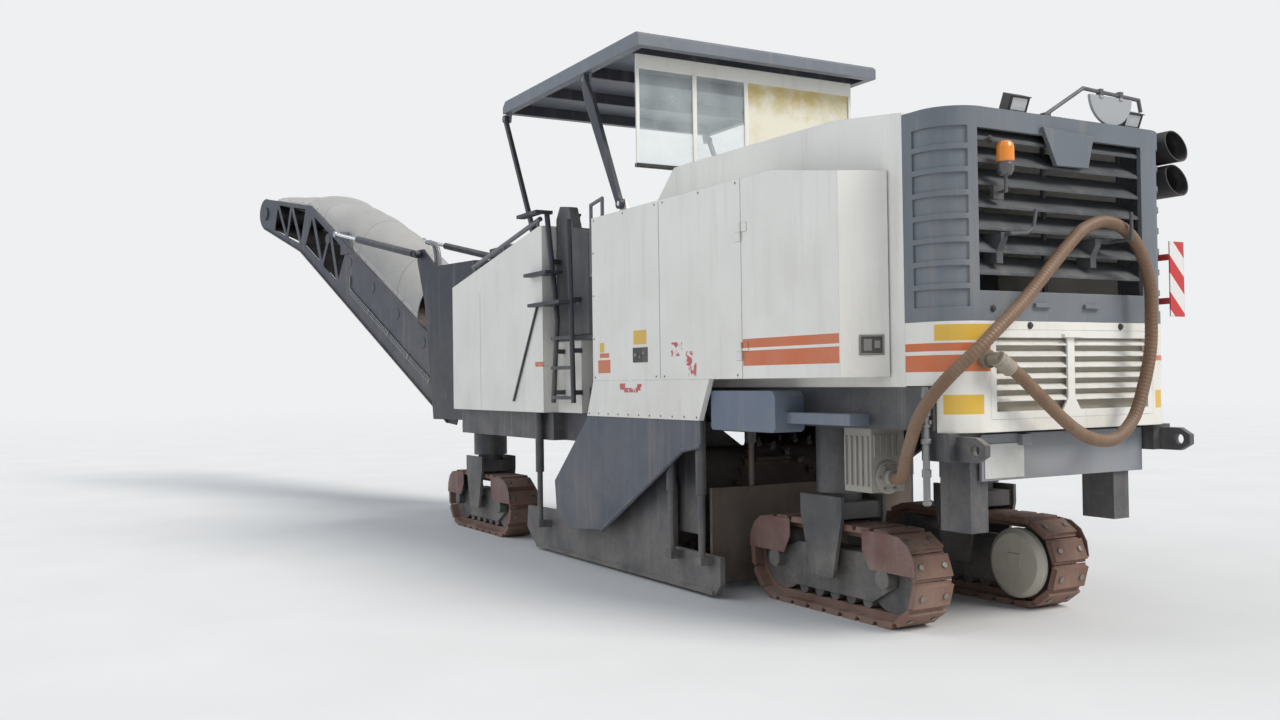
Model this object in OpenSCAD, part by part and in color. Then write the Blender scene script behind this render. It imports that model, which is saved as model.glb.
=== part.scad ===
// Cold planer milling machine on four tracks, with a front-loading discharge conveyor.
// Millimetres. +X points to the rear (engine) end, -Y is the machine's left side, +Z is up.
// Inside the modules X = 0 is the rear face, Y = 0 the centre line and Z = 0 the ground.

/* [Body] */
// Width over the side panels
body_w = 2490; // [2440:10:2560]
// Rear face to the front edge of the front body
body_len = 7000; // [6900:10:7100]
// Width of the engine hood
hood_w = 1934; // [1900:2:1960]
// Height of the hood's crown
hood_top = 3190; // [3150:10:3230]
// Hood front slope, height where it starts
hood_low = 2960; // [2930:10:2980]
// Thickness of doors and panels
panel_t = 40; // [30:1:45]
// Thickness of the hood's walls
hood_t = 30; // [20:1:40]
// Lower edge of the side panels
panel_z0 = 1560; // [1540:5:1580]
// Upper edge of the side panels
panel_z1 = 2890; // [2860:5:2920]
// Rear face to the front edge of the rear side door
door_x = 1630; // [1600:5:1700]
// Rear face to the rear corner of the side door
door_rear = 630; // [600:5:680]
// Rear face to the front edge of the side panels
side_x = 3780; // [3760:5:3800]
// Drop of the door's top edge at its rear corner
door_drop = 110; // [80:5:140]
// Height of the white skirt below the side panels
skirt_h = 290; // [270:5:295]

/* [Rear] */
// Length of the grey rear cowl
cowl_len = 380; // [360:5:400]
// Radius of the cowl's rear corners
cowl_r = 250; // [200:5:260]
// Height of the cowl's crown
cowl_top = 3080; // [3060:5:3110]
// Lower edge of the cowl
cowl_z0 = 1870; // [1860:5:1880]
// Width of the louvred opening
grille_w = 1390; // [1350:10:1410]
// Lower edge of the louvred opening
grille_z0 = 2040; // [2020:5:2060]
// Upper edge of the louvred opening
grille_z1 = 2960; // [2940:5:2980]
// Number of louvre blades
louvre_n = 7; // [6:1:8]
// Number of ribs on each cowl corner
cowl_rib_n = 8; // [6:1:9]
// Lower edge of the white rear frame
frame_z0 = 1240; // [1230:5:1245]
// Number of slats in the lower flap
flap_n = 6; // [5:1:7]
// Height of the grey rear plate
rear_plate_h = 270; // [240:5:290]

/* [Tracks] */
// Length over a track unit
track_len = 1730; // [1680:10:1780]
// Height of a track unit
track_h = 606; // [590:2:620]
// Width of a track shoe
track_w = 300; // [280:5:310]
// Shoes on one track
shoe_n = 23; // [21:1:25]
// Distance between the centres of the rear tracks
rear_gauge = 1208; // [1190:2:1230]
// Distance between the centres of the front tracks
front_gauge = 1820; // [1800:5:1840]
// Rear face to the rear track's centre
rear_track_x = 1410; // [1400:5:1450]
// Distance between front and rear track centres
wheelbase = 5400; // [5350:10:5450]
// Radius of the steered leg
leg_r = 130; // [115:1:135]

/* [Milling drum] */
// Diameter over the tool tips
drum_d = 1020; // [980:10:1040]
// Length of the drum
drum_w = 1950; // [1900:10:1970]
// Rear face to the drum's axis
drum_x = 3350; // [3330:5:3370]
// Gap between the ground and the tool tips
drum_lift = 70; // [60:5:90]
// Spiral rows of tools around the drum
tool_rows = 4; // [3:1:5]
// Tools in one row
tool_n = 26; // [20:2:30]
// Turn of a row from one tool to the next
tool_turn = 13; // [9:1:16]

/* [Canopy] */
// Length of the roof
roof_len = 2660; // [2600:10:2700]
// Width of the roof
roof_w = 2380; // [2360:10:2400]
// Height of the roof's top
roof_z = 4260; // [4240:5:4280]
// Rear face to the roof's rear edge
roof_x = 3060; // [3050:5:3080]
// Forward reach of the roof arms
arm_dx = 600; // [580:5:620]

/* [Conveyor] */
// Turn of the discharge conveyor towards the machine's left
slew = 11; // [0:1:20]
// Climb of the discharge conveyor's lower section
climb = 31; // [28:1:32]
// Climb of the discharge conveyor's upper section
climb_top = 20; // [17:1:22]
// Front edge of the body to the slewing pin
pin_reach = 750; // [740:5:760]
// Length of the conveyor's lower section
belt_len_low = 4740; // [4600:10:4800]
// Length of the conveyor's upper section
belt_len_top = 1400; // [1300:10:1500]
// Width over the conveyor's side frames
conv_w = 1000; // [960:10:1020]
// Depth of the conveyor's side frames
conv_d = 730; // [700:5:740]
// Radius of the conveyor's head
head_r = 230; // [210:5:240]
// Width over the slewing tower
tower_w = 1240; // [1230:5:1260]

/* [Hidden] */
$fn = 48;

// Clearances
run = 0.08;
seat = 0.3;
gap = 6;

// Half widths of the body and hood
body_y = body_w / 2;
hood_y = hood_w / 2;
skin_y = body_y - panel_t;
front_x = -body_len;
margin = 18;

// Door hinges, on the panels' outer face
door_hinge_x = door_x + gap / 2;
knuckle_r = 9;
knuckle_h = 60;
hinge_pin_r = 5;
door_hinge_y = body_y + knuckle_r + 1;
door_hinge_z = [panel_z0 + 120, panel_z1 - 420];
side_out = door_hinge_y + knuckle_r;

// Chassis rails
rail_z0 = 1250;
rail_z1 = 1500;
rail_y0 = 780;
front_rail_z0 = 1030;
front_rail_z1 = 1280;
front_rail_y0 = 950;
front_rail_y1 = 1150;
bulkhead_x0 = -4250;
bulkhead_x1 = -4160;
bulkhead_y = 1040;
rear_cross_x = -160;
column_r = leg_r + 42;
column_z0 = 800;
column_roof = 30;
lug_y0 = 850;
lug_t = 40;
lug_bore_r = 32;
lug_z = 1150;
rear_leg_z0 = 650;

// Tracks
shoe_t = 38;
chain_t = 42;
track_r = track_h / 2 - shoe_t;
track_run = track_len - track_h;
track_loop = 2 * track_run + 2 * PI * track_r;
shoe_pitch = track_loop / shoe_n;
wheel_r = track_r - chain_t - seat;
yoke_gap = 14;
yoke_t = 26;
yoke_z0 = track_h + 30;
yoke_z1 = yoke_z0 + 148;
chain_y = 75;
roller_r = 46;
roller_n = 5;
front_track_x = rear_track_x + wheelbase;
chassis_x = min(front_x, -front_track_x - column_r - margin);

// Drum housing and what hangs on it
housing_t = 28;
housing_y1 = drum_w / 2 + 50;
housing_x0 = bulkhead_x1 + 10;
housing_x1 = -2500;
housing_z0 = 420;
drum_z = drum_d / 2 + drum_lift;
drum_core_r = drum_d / 2 - 85;
shaft_r = 120;
side_plate_y0 = housing_y1 + 32;
side_plate_t = 40;
side_plate_z0 = 25;
side_plate_z1 = 950;
rod_y = side_plate_y0 + side_plate_t + 68;
rod_r = 25;
rod_barrel_r = 38;
front_rod_y = front_rail_y1 + rod_barrel_r + 4;
side_rods = [[-2290, rod_y, panel_z0], [-2700, rod_y, panel_z0], [-4960, front_rod_y, front_rail_z1]];
blade_x = housing_x1 + 10;
blade_t = 30;
blade_travel = 300;
blade_z0 = 60;
blade_z1 = 760;
scraper_rod_x = blade_x + blade_t / 2;
scraper_rod_y = 600;
scraper_rod_r = 22;
scraper_barrel_r = 40;
scraper_barrel_z0 = blade_z1 + blade_travel + 20;
scraper_barrel_z1 = scraper_barrel_z0 + blade_travel + 180;

// Platform between the front body and the hood
deck_z = 1950;
deck_t = 40;
front_rear_x = -4750;
step_y = 1110;
step_z = deck_z - deck_t;
hood_front_x = -3190;
hood_rear_x = -cowl_len;
deck_y = 1120;
ladder_x0 = -4640;
ladder_x1 = -4285;
ladder_y = 1200;
ladder_r = 22;

// Front body
front_z0 = front_rail_z1;
front_low_z = 2560;
front_high_z = 2950;
front_high_x = -4820;
channel_y = 500;
primary_y = 420;
primary_x1 = housing_x0 + 100;
primary_x0 = chassis_x - 1000;
primary_low = 660;
primary_top = 2490;

// Canopy arms and pins
arm_y0 = 1155;
arm_t = 35;
arm_pin_r = 20;
arm_base_z = panel_z1 + 80;
arm_head = 50;
rear_arm_x = -3420;
front_arm_x = -5100;
arm_bracket_t = 20;
roof_t = 110;
roof_skin = 15;
roof_rim = 72;
roof_rib_t = 24;
arm_rise = roof_z - roof_t - arm_head - arm_base_z;
glass_x = -3295;
glass_t = 10;
glass_z0 = 3250;
glass_y = 1090;

mirror_x = -30;

// Louvred opening and lower flap at the rear
grille_y = -55;
louvre_tip = 18;
flap_w = 1390;
flap_y = 15;
flap_z0 = 1310;
flap_z1 = 1820;
flap_rim = 45;

// Slewing conveyor, in its own frame: it points along -X from its slewing pin at X = 0
pin_x = chassis_x - pin_reach;
pin_r = 60;
tower_t = 25;
tower_s0 = 250;
tower_z0 = 1120;
tower_top = 2960;
kingpost_t = 80;
luff_s = 900;
luff_z = 1400;
luff_pin_r = 40;
conv_s0 = 1040;
conv_z0 = 1070;
kink_s = conv_s0 + belt_len_low * cos(climb);
kink_z = conv_z0 + belt_len_low * sin(climb);
head_s = kink_s + belt_len_top * cos(climb_top) - head_r * sin(climb_top);
head_z = kink_z + belt_len_top * sin(climb_top) + head_r * cos(climb_top);
conv_y = conv_w / 2;
conv_t = 14;
belt_r = 225;
belt_head_r = 175;
belt_t = 18;
belt_y = conv_y - 50;
belt_low = 120;
belt_mid = belt_low + belt_t + belt_r;
belt_tail = [conv_s0 - belt_mid * sin(climb) + 260 * cos(climb), conv_z0 + belt_mid * cos(climb) + 260 * sin(climb)];
belt_kink = [kink_s - belt_mid * sin((climb + climb_top) / 2), kink_z + belt_mid * cos((climb + climb_top) / 2)];
idler_r = 45;
idler_n = 6;
cyl_anchor = [1450, 3130];
cyl_eye = [3600, 3600];
cyl_y = tower_w / 2 + 50;
cyl_eye_w = 60;
cyl_pin_r = 22;
cyl_r = 45;
cyl_rod_r = 25;
cyl_barrel_len = 1560;
cyl_len = norm(cyl_eye - cyl_anchor);
cyl_angle = atan2(cyl_eye[1] - cyl_anchor[1], cyl_eye[0] - cyl_anchor[0]);

// Arched cover over the conveyor, with its rise above the side frames at some distances
cover_arc_n = 9;
cover_t = 12;
cover_s0 = 1750;
cover_s1 = 5900;
cover_rise = [[1750, 560], [2880, 573], [3770, 438], [4690, 185], [5900, 85]];

// Bars and bays of the side frames' open part
bay_u = [3450, 4040, 4700];
bay_v = [40, 560, 1060];
chord = 100;
bar_w = 60;

// Outermost points, which set the frame's origin under the middle of the whole machine
lug_out = 150;
tip_s = head_s + head_r;
head_x = pin_x - tip_s * cos(slew) - conv_y * sin(slew);
head_y = -tip_s * sin(slew) - conv_y * cos(slew);
org_x = (lug_out + head_x) / 2;
org_y = (side_out + head_y) / 2;

// Suction hose route, round numbers in the machine's own coordinates
hose_r = 38;
hose_sides = 10;
pipe_r = 20;
pipe_y = hood_y + pipe_r + 1;
hose_route = [[105, -660, 1610], [118, -570, 1552], [132, -370, 1390],
    [140, -190, 1260], [145, -20, 1185], [145, 170, 1180], [140, 340, 1290], [140, 440, 1480],
    [140, 510, 1700], [135, 530, 1900], [130, 530, 2100], [120, 460, 2300], [105, 350, 2420],
    [90, 190, 2465], [90, 20, 2420], [100, -120, 2330], [115, -350, 2140], [120, -560, 1960],
    [120, -760, 1810], [100, -900, 1690], [20, -1000, 1570], [-90, -1040, 1450],
    [-190, -1050, 1330], [-265, -1040, 1200], [-340, -1010, 1090], [-430, -950, 1005], [-520, -880, 965],
    [-580, -845, 951], [-620, -835, 950], [-640, -835, 950]];
hose_start = (hose_route[1] - hose_route[0]) / norm(hose_route[1] - hose_route[0]);
hose_elbow = hose_route[0] - 80 * hose_start;

module place() {
    translate([-org_x, -org_y, 0]) children();
}

module both_sides() {
    children();
    mirror([0, 1, 0]) children();
}

// A box between two opposite corners
module block(lo, hi) {
    translate(lo) cube(hi - lo);
}

// A flat plate whose outline is given in X and Z, between two Y planes
module slab(points, y0, y1) {
    translate([0, y1, 0]) rotate([90, 0, 0]) linear_extrude(y1 - y0) polygon(points);
}

// A round bar along Y
module bar_y(x, z, r, y0, y1) {
    translate([x, y1, z]) rotate([90, 0, 0]) cylinder(r = r, h = y1 - y0);
}

// A round bar along X
module bar_x(y, z, r, x0, x1) {
    translate([x0, y, z]) rotate([0, 90, 0]) cylinder(r = r, h = x1 - x0);
}

// A straight round bar between two points
module rod_between(a, b, r) {
    d = b - a;
    translate(a) rotate([0, acos(d[2] / norm(d)), atan2(d[1], d[0])]) cylinder(r = r, h = norm(d), $fn = 20);
}

// A round bar bent at each inner point
module bent_rod(points, r) {
    for (i = [0 : len(points) - 2]) rod_between(points[i], points[i + 1], r);
    for (i = [1 : 1 : len(points) - 2]) translate(points[i]) sphere(r = r + 0.6, $fn = 20);
}

// A flat plate whose outline is given in Y and Z, between two X planes
module panel_x(points, x0, x1) {
    translate([x0, 0, 0]) rotate([90, 0, 90]) linear_extrude(x1 - x0) polygon(points);
}

// Height of the front body's sloping top at a given X
function front_top(x) = front_low_z + (front_high_z - front_low_z) * (x - front_x) / (front_high_x - front_x);

// Root body: frame and housing

module column(x, y, top) {
    translate([x, y, column_z0]) cylinder(r = column_r, h = top - column_z0);
}

module column_bore(x, y, top) {
    translate([x, y, column_z0 - 1]) cylinder(r = leg_r + run, h = top - column_roof - column_z0 + 1);
}

module rear_lug() {
    difference() {
        slab([[-60, lug_z - 70], [lug_out - 70, lug_z - 70], [lug_out, lug_z - 30], [lug_out, lug_z + 30],
            [lug_out - 70, lug_z + 70], [-60, lug_z + 70]], lug_y0, lug_y0 + lug_t);
        bar_y(lug_out - 75, lug_z, lug_bore_r, lug_y0 - 1, lug_y0 + lug_t + 1);
    }
}

module chassis() place() color("#2b2f38") difference() {
    union() {
        both_sides() {
            block([bulkhead_x1 - 1, rail_y0, rail_z0], [rear_cross_x, hood_y, rail_z1]);
            block([chassis_x, front_rail_y0, front_rail_z0], [front_rear_x, front_rail_y1, front_rail_z1]);
            block([front_rear_x - 1, front_rail_y0, front_rail_z0], [bulkhead_x0 + 1, bulkhead_y, front_rail_z1]);
            block([bulkhead_x0, rail_y0, front_rail_z0], [bulkhead_x1, bulkhead_y, rail_z1]);
            column(-rear_track_x, rear_gauge / 2, rail_z1);
            column(-front_track_x, front_gauge / 2, front_rail_z1);
            block([-rear_track_x - column_r, rear_gauge / 2, rail_z0],
                [-rear_track_x + column_r, rail_y0 + 1, rail_z1]);
            block([rear_cross_x, lug_y0 - 60, rail_z0 - 170], [-60, lug_y0 + lug_t + 60, rail_z0 - 10]);
            rear_lug();
            block([rear_cross_x - 250, rear_gauge / 2 - 60, rear_leg_z0], [rear_cross_x - 10, rear_gauge / 2 + 80, rail_z0 - 169]);
        }
        block([rear_cross_x - 120, -rail_y0 - 1, rail_z0], [rear_cross_x, rail_y0 + 1, rail_z1]);
        block([rear_cross_x - 120, -hood_y + 20, rail_z0 - 170], [rear_cross_x, hood_y - 20, rail_z0 + 1]);
        block([-rear_track_x - 100, -rear_gauge / 2, rail_z0], [-rear_track_x + 100, rear_gauge / 2, rail_z1]);
        block([chassis_x, -front_rail_y0 - 1, front_rail_z0], [chassis_x + 120, front_rail_y0 + 1, front_rail_z1]);
    }
    both_sides() {
        column_bore(-rear_track_x, rear_gauge / 2, rail_z1);
        column_bore(-front_track_x, front_gauge / 2, front_rail_z1);
    }
}

module scraper_barrels() {
    both_sides() difference() {
        translate([scraper_rod_x, scraper_rod_y, scraper_barrel_z0])
            cylinder(r = scraper_barrel_r, h = scraper_barrel_z1 - scraper_barrel_z0);
        translate([scraper_rod_x, scraper_rod_y, scraper_barrel_z0 - 1])
            cylinder(r = scraper_rod_r + run, h = scraper_barrel_z1 - scraper_barrel_z0 - 8);
    }
}

module drum_housing() place() color("#23262d") {
    scraper_barrels();
    both_sides() difference() {
        slab([[housing_x0, housing_z0], [housing_x1, housing_z0], [housing_x1, rail_z0],
            [housing_x0, rail_z0]], housing_y1 - housing_t, housing_y1);
        bar_y(-drum_x, drum_z, shaft_r + run, housing_y1 - housing_t - 1, housing_y1 + 1);
    }
    difference() {
        block([housing_x0, -housing_y1 + housing_t - 1, rail_z0 - housing_t],
            [scraper_rod_x + 60, housing_y1 - housing_t + 1, rail_z0]);
        both_sides() translate([scraper_rod_x, scraper_rod_y, rail_z0 - housing_t - 1])
            cylinder(r = scraper_barrel_r - 1, h = housing_t + 2);
    }
    difference() {
        block([housing_x0, -housing_y1 + housing_t - 1, housing_z0],
            [housing_x0 + housing_t, housing_y1 - housing_t + 1, rail_z0 - housing_t + 1]);
        block([housing_x0 - 1, -channel_y, housing_z0 - 1],
            [housing_x0 + housing_t + 1, channel_y, rail_z0 - 100]);
    }
}

// Root body: bodywork

module front_tank() {
    slab([[front_x, front_z0], [front_rear_x, front_z0], [front_rear_x, front_high_z], [front_high_x, front_high_z],
        [front_x + 500, front_top(front_x + 500)], [front_x, front_low_z]], channel_y, body_y);
    slab([[front_rear_x - 1, front_z0], [bulkhead_x0 - 10, front_z0], [bulkhead_x0 - 10, step_z],
        [front_rear_x - 1, step_z]], channel_y, step_y);
}

module arm_pivot(x, floor_z) {
    slab([[x - 70, floor_z], [x + 70, floor_z], [x + 35, arm_base_z + 35], [x - 35, arm_base_z + 35]],
        arm_y0 - 10 - arm_bracket_t, arm_y0 - 10);
    bar_y(x, arm_base_z, arm_pin_r, arm_y0 - 11, arm_y0 + arm_t);
}

module front_body() place() color("#d9d8d4") {
    both_sides() {
        front_tank();
        arm_pivot(front_arm_x, front_top(front_arm_x) - 5);
    }
    block([-5600, -channel_y - 1, front_top(-5600) - 60], [front_high_x, channel_y + 1, front_top(-5600)]);
}

module panel_top_edge() {
    block([-side_x, hood_y, panel_z1 - panel_t], [-door_x - gap, skin_y, panel_z1]);
}

module side_panels() place() color("#dcdbd7") {
    both_sides() {
        block([-side_x, skin_y, panel_z0], [-door_x - gap, body_y, panel_z1]);
        panel_top_edge();
        block([-side_x, hood_y, panel_z0], [-door_rear - panel_t - gap, skin_y, panel_z0 + panel_t]);
        block([-side_x, hood_y, panel_z0 + panel_t - 1], [-side_x + panel_t, skin_y + 1, panel_z1 - panel_t + 1]);
        block([-door_x - gap - panel_t, hood_y, panel_z0 + panel_t - 1],
            [-door_x - gap, skin_y + 1, panel_z1 - panel_t + 1]);
        block([-side_x, hood_y, panel_z0 + panel_t - 1], [hood_front_x, hood_y + 25, panel_z1 - panel_t + 1]);
        arm_pivot(rear_arm_x, panel_z1 - 5);
        hinge_knuckles(0, 0);
        for (z = door_hinge_z) {
            block([-door_hinge_x - 70, body_y - 1, z], [-door_hinge_x, body_y + 5, z + knuckle_h]);
            translate([-door_hinge_x, door_hinge_y, z + knuckle_h - 1]) cylinder(r = hinge_pin_r, h = knuckle_h);
        }
    }
}

module side_skirts() place() color("#dcdbd7") both_sides() {
    slab([[-side_x - 120, panel_z0 - skirt_h], [-2180, panel_z0 - skirt_h], [-2040, panel_z0], [-side_x, panel_z0]],
        skin_y, body_y);
}

module drum_shields() place() color("#343a46") both_sides() {
    slab([[-side_x - 120, panel_z0 - skirt_h], [-4560, 690], [-4530, 440], [-4290, 300], [-3700, 350],
        [-2430, 1060], [-2180, 1100], [-2180, panel_z0 - skirt_h]], skin_y + 10, body_y - 10);
    bent_rod([[-3700, body_y - 21, 345], [-2434, body_y - 21, 1052], [-2190, body_y - 21, 1092]], 17.4);
}

module hood_profile(inset) {
    polygon([[hood_front_x + inset, rail_z1], [hood_front_x + inset, hood_low - inset / 2],
        [hood_front_x + 270 + inset / 2, hood_top - inset], [-1000, hood_top - 20 - inset],
        [hood_rear_x, cowl_top + 15 - inset], [hood_rear_x, rail_z1]]);
}

module engine_hood() place() color("#e2e1dd") difference() {
    translate([0, hood_y, 0]) rotate([90, 0, 0]) linear_extrude(hood_w) hood_profile(0);
    difference() {
        translate([0, hood_y - hood_t, -1]) rotate([90, 0, 0]) linear_extrude(hood_w - 2 * hood_t)
            hood_profile(hood_t);
        block([hood_rear_x - hood_t, -hood_y, rail_z1 - 2], [hood_rear_x + 1, hood_y, rail_z1 + 60]);
    }
    block([hood_rear_x - hood_t - 1, -hood_y + hood_t, rail_z1 + 60], [hood_rear_x + 1, hood_y - hood_t, 2900]);
}

module engine_block() place() color("#4a4d52") {
    slab([[-2700, rail_z1 + 60], [-2700, 2350], [-2560, 2500], [-1140, 2500], [-1000, 2350], [-1000, rail_z1 + 60]],
        -450, 450);
    for (x = [-2250, -1300]) block([x, -rail_y0 - 40, rail_z1], [x + 120, rail_y0 + 40, rail_z1 + 61]);
}

// Outline of the rear end in X and Y, with rounded corners
module rear_outline(x0, half, r) {
    intersection() {
        translate([x0, -half]) square([-x0, 2 * half]);
        union() {
            translate([x0, -half]) square([-x0 - r, 2 * half]);
            translate([-r - 1, -half + r]) square([r + 1, 2 * half - 2 * r]);
            for (side = [-1, 1]) translate([-r, side * (half - r)]) circle(r = r, $fn = 64);
        }
    }
}

module rear_cowl() place() color("#5d636b") {
    pitch = (cowl_top - cowl_z0 - 160) / cowl_rib_n;
    difference() {
        translate([0, 0, cowl_z0]) linear_extrude(cowl_top - cowl_z0) rear_outline(-cowl_len, hood_y, cowl_r);
        translate([0, 0, cowl_z0 - 1]) linear_extrude(cowl_top - hood_t - cowl_z0 + 1)
            translate([-hood_t, 0]) rear_outline(-cowl_len, hood_y - hood_t, cowl_r - hood_t);
        block([-cowl_r, grille_y - grille_w / 2, grille_z0], [1, grille_y + grille_w / 2, grille_z1]);
        both_sides() for (i = [0 : cowl_rib_n - 1])
            translate([0, 0, cowl_z0 + 80 + pitch * i]) linear_extrude(pitch * 0.76) corner_recess(12);
    }
    // Blank badge plate over the top of the opening
    panel_x([[-250, grille_z1 + 42], [180, grille_z1 + 20], [130, grille_z1 - 172], [-140, grille_z1 - 176]], -1, 28);
    // Latch grips on the plain strip below the opening
    for (y = [-330, 90]) block([-1, y, cowl_z0 + 80], [22, y + 130, cowl_z0 + 104]);
}

// What a shallow recess round the cowl's corner takes away, seen from above
module corner_recess(depth) {
    difference() {
        translate([-cowl_r - 50, hood_y - cowl_r + 93]) square([cowl_r + 60, cowl_r]);
        translate([-depth, 0]) rear_outline(-cowl_len, hood_y - depth, cowl_r - depth);
    }
}

module rear_louvres() place() color("#4c525a") {
    half = grille_w / 2 - seat;
    pitch = (grille_z1 - grille_z0 - 30) / louvre_n;
    translate([0, grille_y, 0]) {
        for (i = [0 : louvre_n - 1]) translate([0, 0, grille_z0 + 90 + pitch * i])
            slab([[-172, 112], [-172, 130], [-louvre_tip, 18], [-louvre_tip, 0]], -half, half);
        for (y = [-half, -12, half - 24]) block([-166, y, grille_z0 + seat], [-146, y + 24, grille_z1 + 50]);
    }
    hose_hook([[-20, -565, 2360], [60, -565, 2360], [60, -440, 2368], [60, -385, 2400], [60, -360, 2510]], -600);
    hose_hook([[-20, 330, 2358], [163, 330, 2358], [163, 330, 2520]], 185);
}

// A hook that carries the hose, on its own bracket between the blades
module hose_hook(points, bracket_y) {
    bent_rod(points, 11);
    slab([[-120, 2200], [-120, 2372], [20, 2372], [20, 2330], [-16, 2270], [-16, 2200]], bracket_y, bracket_y + 50);
    block([-19, min(bracket_y, points[0][1]), 2346], [19, max(bracket_y + 50, points[0][1]), 2371]);
}

module rear_frame() place() color("#dddcd6") difference() {
    translate([0, 0, frame_z0]) linear_extrude(cowl_z0 - frame_z0) rear_outline(-cowl_len, hood_y, cowl_r);
    translate([0, 0, frame_z0 - 1]) linear_extrude(cowl_z0 - frame_z0 + 2)
        translate([-panel_t, 0]) rear_outline(-cowl_len, hood_y - panel_t, cowl_r - panel_t);
    block([-cowl_r, flap_y - flap_w / 2, flap_z0], [1, flap_y + flap_w / 2, flap_z1]);
    block([-cowl_len - 1, -hood_y - 1, frame_z0 - 1], [rear_cross_x + gap, hood_y + 1, rail_z1 + gap]);
}

module rear_flap() place() color("#d2d1ca") translate([0, flap_y, 0]) {
    half = flap_w / 2 - seat;
    inner = half - flap_rim;
    pitch = (flap_z1 - flap_z0 - 190) / (flap_n - 1);
    difference() {
        block([-panel_t, -half, flap_z0 + seat], [0, half, flap_z1 - seat]);
        block([-panel_t - 1, -inner, flap_z0 + flap_rim], [1, inner, flap_z1 - flap_rim]);
    }
    for (i = [0 : flap_n - 1]) translate([0, 0, flap_z0 + 100 + pitch * i])
        slab([[-panel_t + 2, 30], [-panel_t + 2, 36], [-4, 8], [-4, 0]], -inner - 1, inner + 1);
    panel_x([[-110, flap_z0 + flap_rim - 1], [40, flap_z0 + flap_rim - 1], [-5, flap_z0 + flap_rim + 70],
        [-5, flap_z1 - flap_rim + 1], [-65, flap_z1 - flap_rim + 1], [-65, flap_z0 + flap_rim + 70]], -14, 0);
    block([-1, -110, flap_z1 - 42], [20, 50, flap_z1 - 22]);
}

module rear_plate() place() color("#878c94") {
    block([rear_cross_x, -620, frame_z0 - 20 - rear_plate_h], [rear_cross_x + 20, lug_y0 - 70, frame_z0 - 20]);
    block([rear_cross_x + 19, -330, frame_z0 - 90], [rear_cross_x + 60, -250, frame_z0 - 24]);
}

module platform() place() color("#3a3e46") {
    block([front_rear_x + seat, -deck_y, step_z], [-side_x - seat, deck_y, deck_z]);
    block([-side_x - 1, -hood_y + seat, step_z], [hood_front_x, hood_y - seat, deck_z]);
}

module seat_unit() {
    block([-4560, 560, deck_z], [-4360, 760, deck_z + 380]);
    block([-4700, 440, deck_z + 380], [-4180, 880, deck_z + 480]);
    slab([[-4250, deck_z + 470], [-4150, deck_z + 470], [-4090, deck_z + 1020], [-4150, deck_z + 1020]], 470, 850);
}

// Panelled console beside a seat
module console() {
    slab([[-4735, deck_z], [-4735, 3010], [-4660, 3115], [-4480, 3090], [-4400, 2900], [-4120, 2840], [-4120, deck_z]],
        1015, deck_y - 12);
    slab([[-4735, 2500], [-4735, 2960], [-4640, 2980], [-4600, 2500]], 900, 1016);
}

module operator_station() place() color("#2c2e33") both_sides() {
    seat_unit();
    console();
}

module handrails() place() color("#30333a") both_sides() {
    rod_between([-6450, 1222, front_top(-6450) + 70], [front_high_x, 1222, front_high_z + 70], 22);
    difference() {
        for (x = [-6400, -5650, -4870])
            rod_between([x, 1222, front_top(x) - 10], [x, 1222, front_top(x) + 70], 14);
        slab([[front_x, front_z0], [front_high_x, front_z0], [front_high_x, front_high_z], [front_x, front_low_z]],
            channel_y, body_y);
    }
    // Grab loop at the front edge of the side panels
    bent_rod([[-side_x + 140, 1216, panel_z1], [-side_x + 140, 1216, panel_z1 + 150],
        [-side_x - 60, 1216, panel_z1 + 120], [-side_x - 60, 1216, 2430], [-side_x, 1216, 2430]], 15);
}

// Folding ladder beside the operator's place; out is how far its treads reach to the side
module ladder_unit(out) {
    rod_between([-4540, ladder_y, 2100], [-4730, ladder_y, 3060], 24);
    rod_between([-4240, ladder_y, front_z0 + 90], [-4290, ladder_y, 2950], ladder_r);
    rod_between([-4640, ladder_y, front_z0 + 90], [-4540, ladder_y, 2104], ladder_r);
    for (tread = [[-5120, -4690, 3050], [-4980, -4510, 2500], [-4900, -4250, 2225]])
        translate([0, 0, tread[2]]) linear_extrude(30) polygon([[tread[0], body_y + seat], [tread[0], out],
            [tread[1], out], [tread[1], ladder_y - 40], [front_rear_x + 12, ladder_y - 40],
            [front_rear_x + 12, body_y + seat]]);
    for (z = [1400, 1660, 1920]) block([-4640, ladder_y - 20, z], [-4240, ladder_y + 20, z + 30]);
    for (z = [1440, 1800], x = [-4600, -4262]) block([x - 20, step_y, z], [x + 20, ladder_y - 10, z + 40]);
    block([-4300, deck_y - 12, 2240], [-4258, ladder_y - 10, 2280]);
    block([-4700, deck_y - 12, 2600], [-4640, ladder_y - 10, 2640]);
}

module ladders() place() color("#2f333b") {
    ladder_unit(side_out - 1);
    mirror([0, 1, 0]) {
        ladder_unit(body_y + 80);
        rod_between([-5390, body_y + 12, 1380], [-4842, body_y + 12, 2226], 11);
    }
}

module side_steps() place() color("#5f6a7b") both_sides() {
    slab([[-2090, 1225], [-2090, 1480], [-1370, 1480], [-1340, 1440], [-1340, 1230], [-1370, 1210], [-2075, 1210]],
        hood_y, 1200);
    block([-1341, hood_y, 1270], [-700, 1120, 1340]);
}

module lamps() place() color("#25272b") for (y = [-350, 655]) {
    block([-120, y - 20, cowl_top], [-80, y + 20, cowl_top + 40]);
    translate([-95, y, cowl_top + 75]) rotate([0, 22, 0]) {
        cube([70, 150, 100], center = true);
        translate([36, 0, 47]) cube([30, 150, 6], center = true);
    }
}

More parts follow.
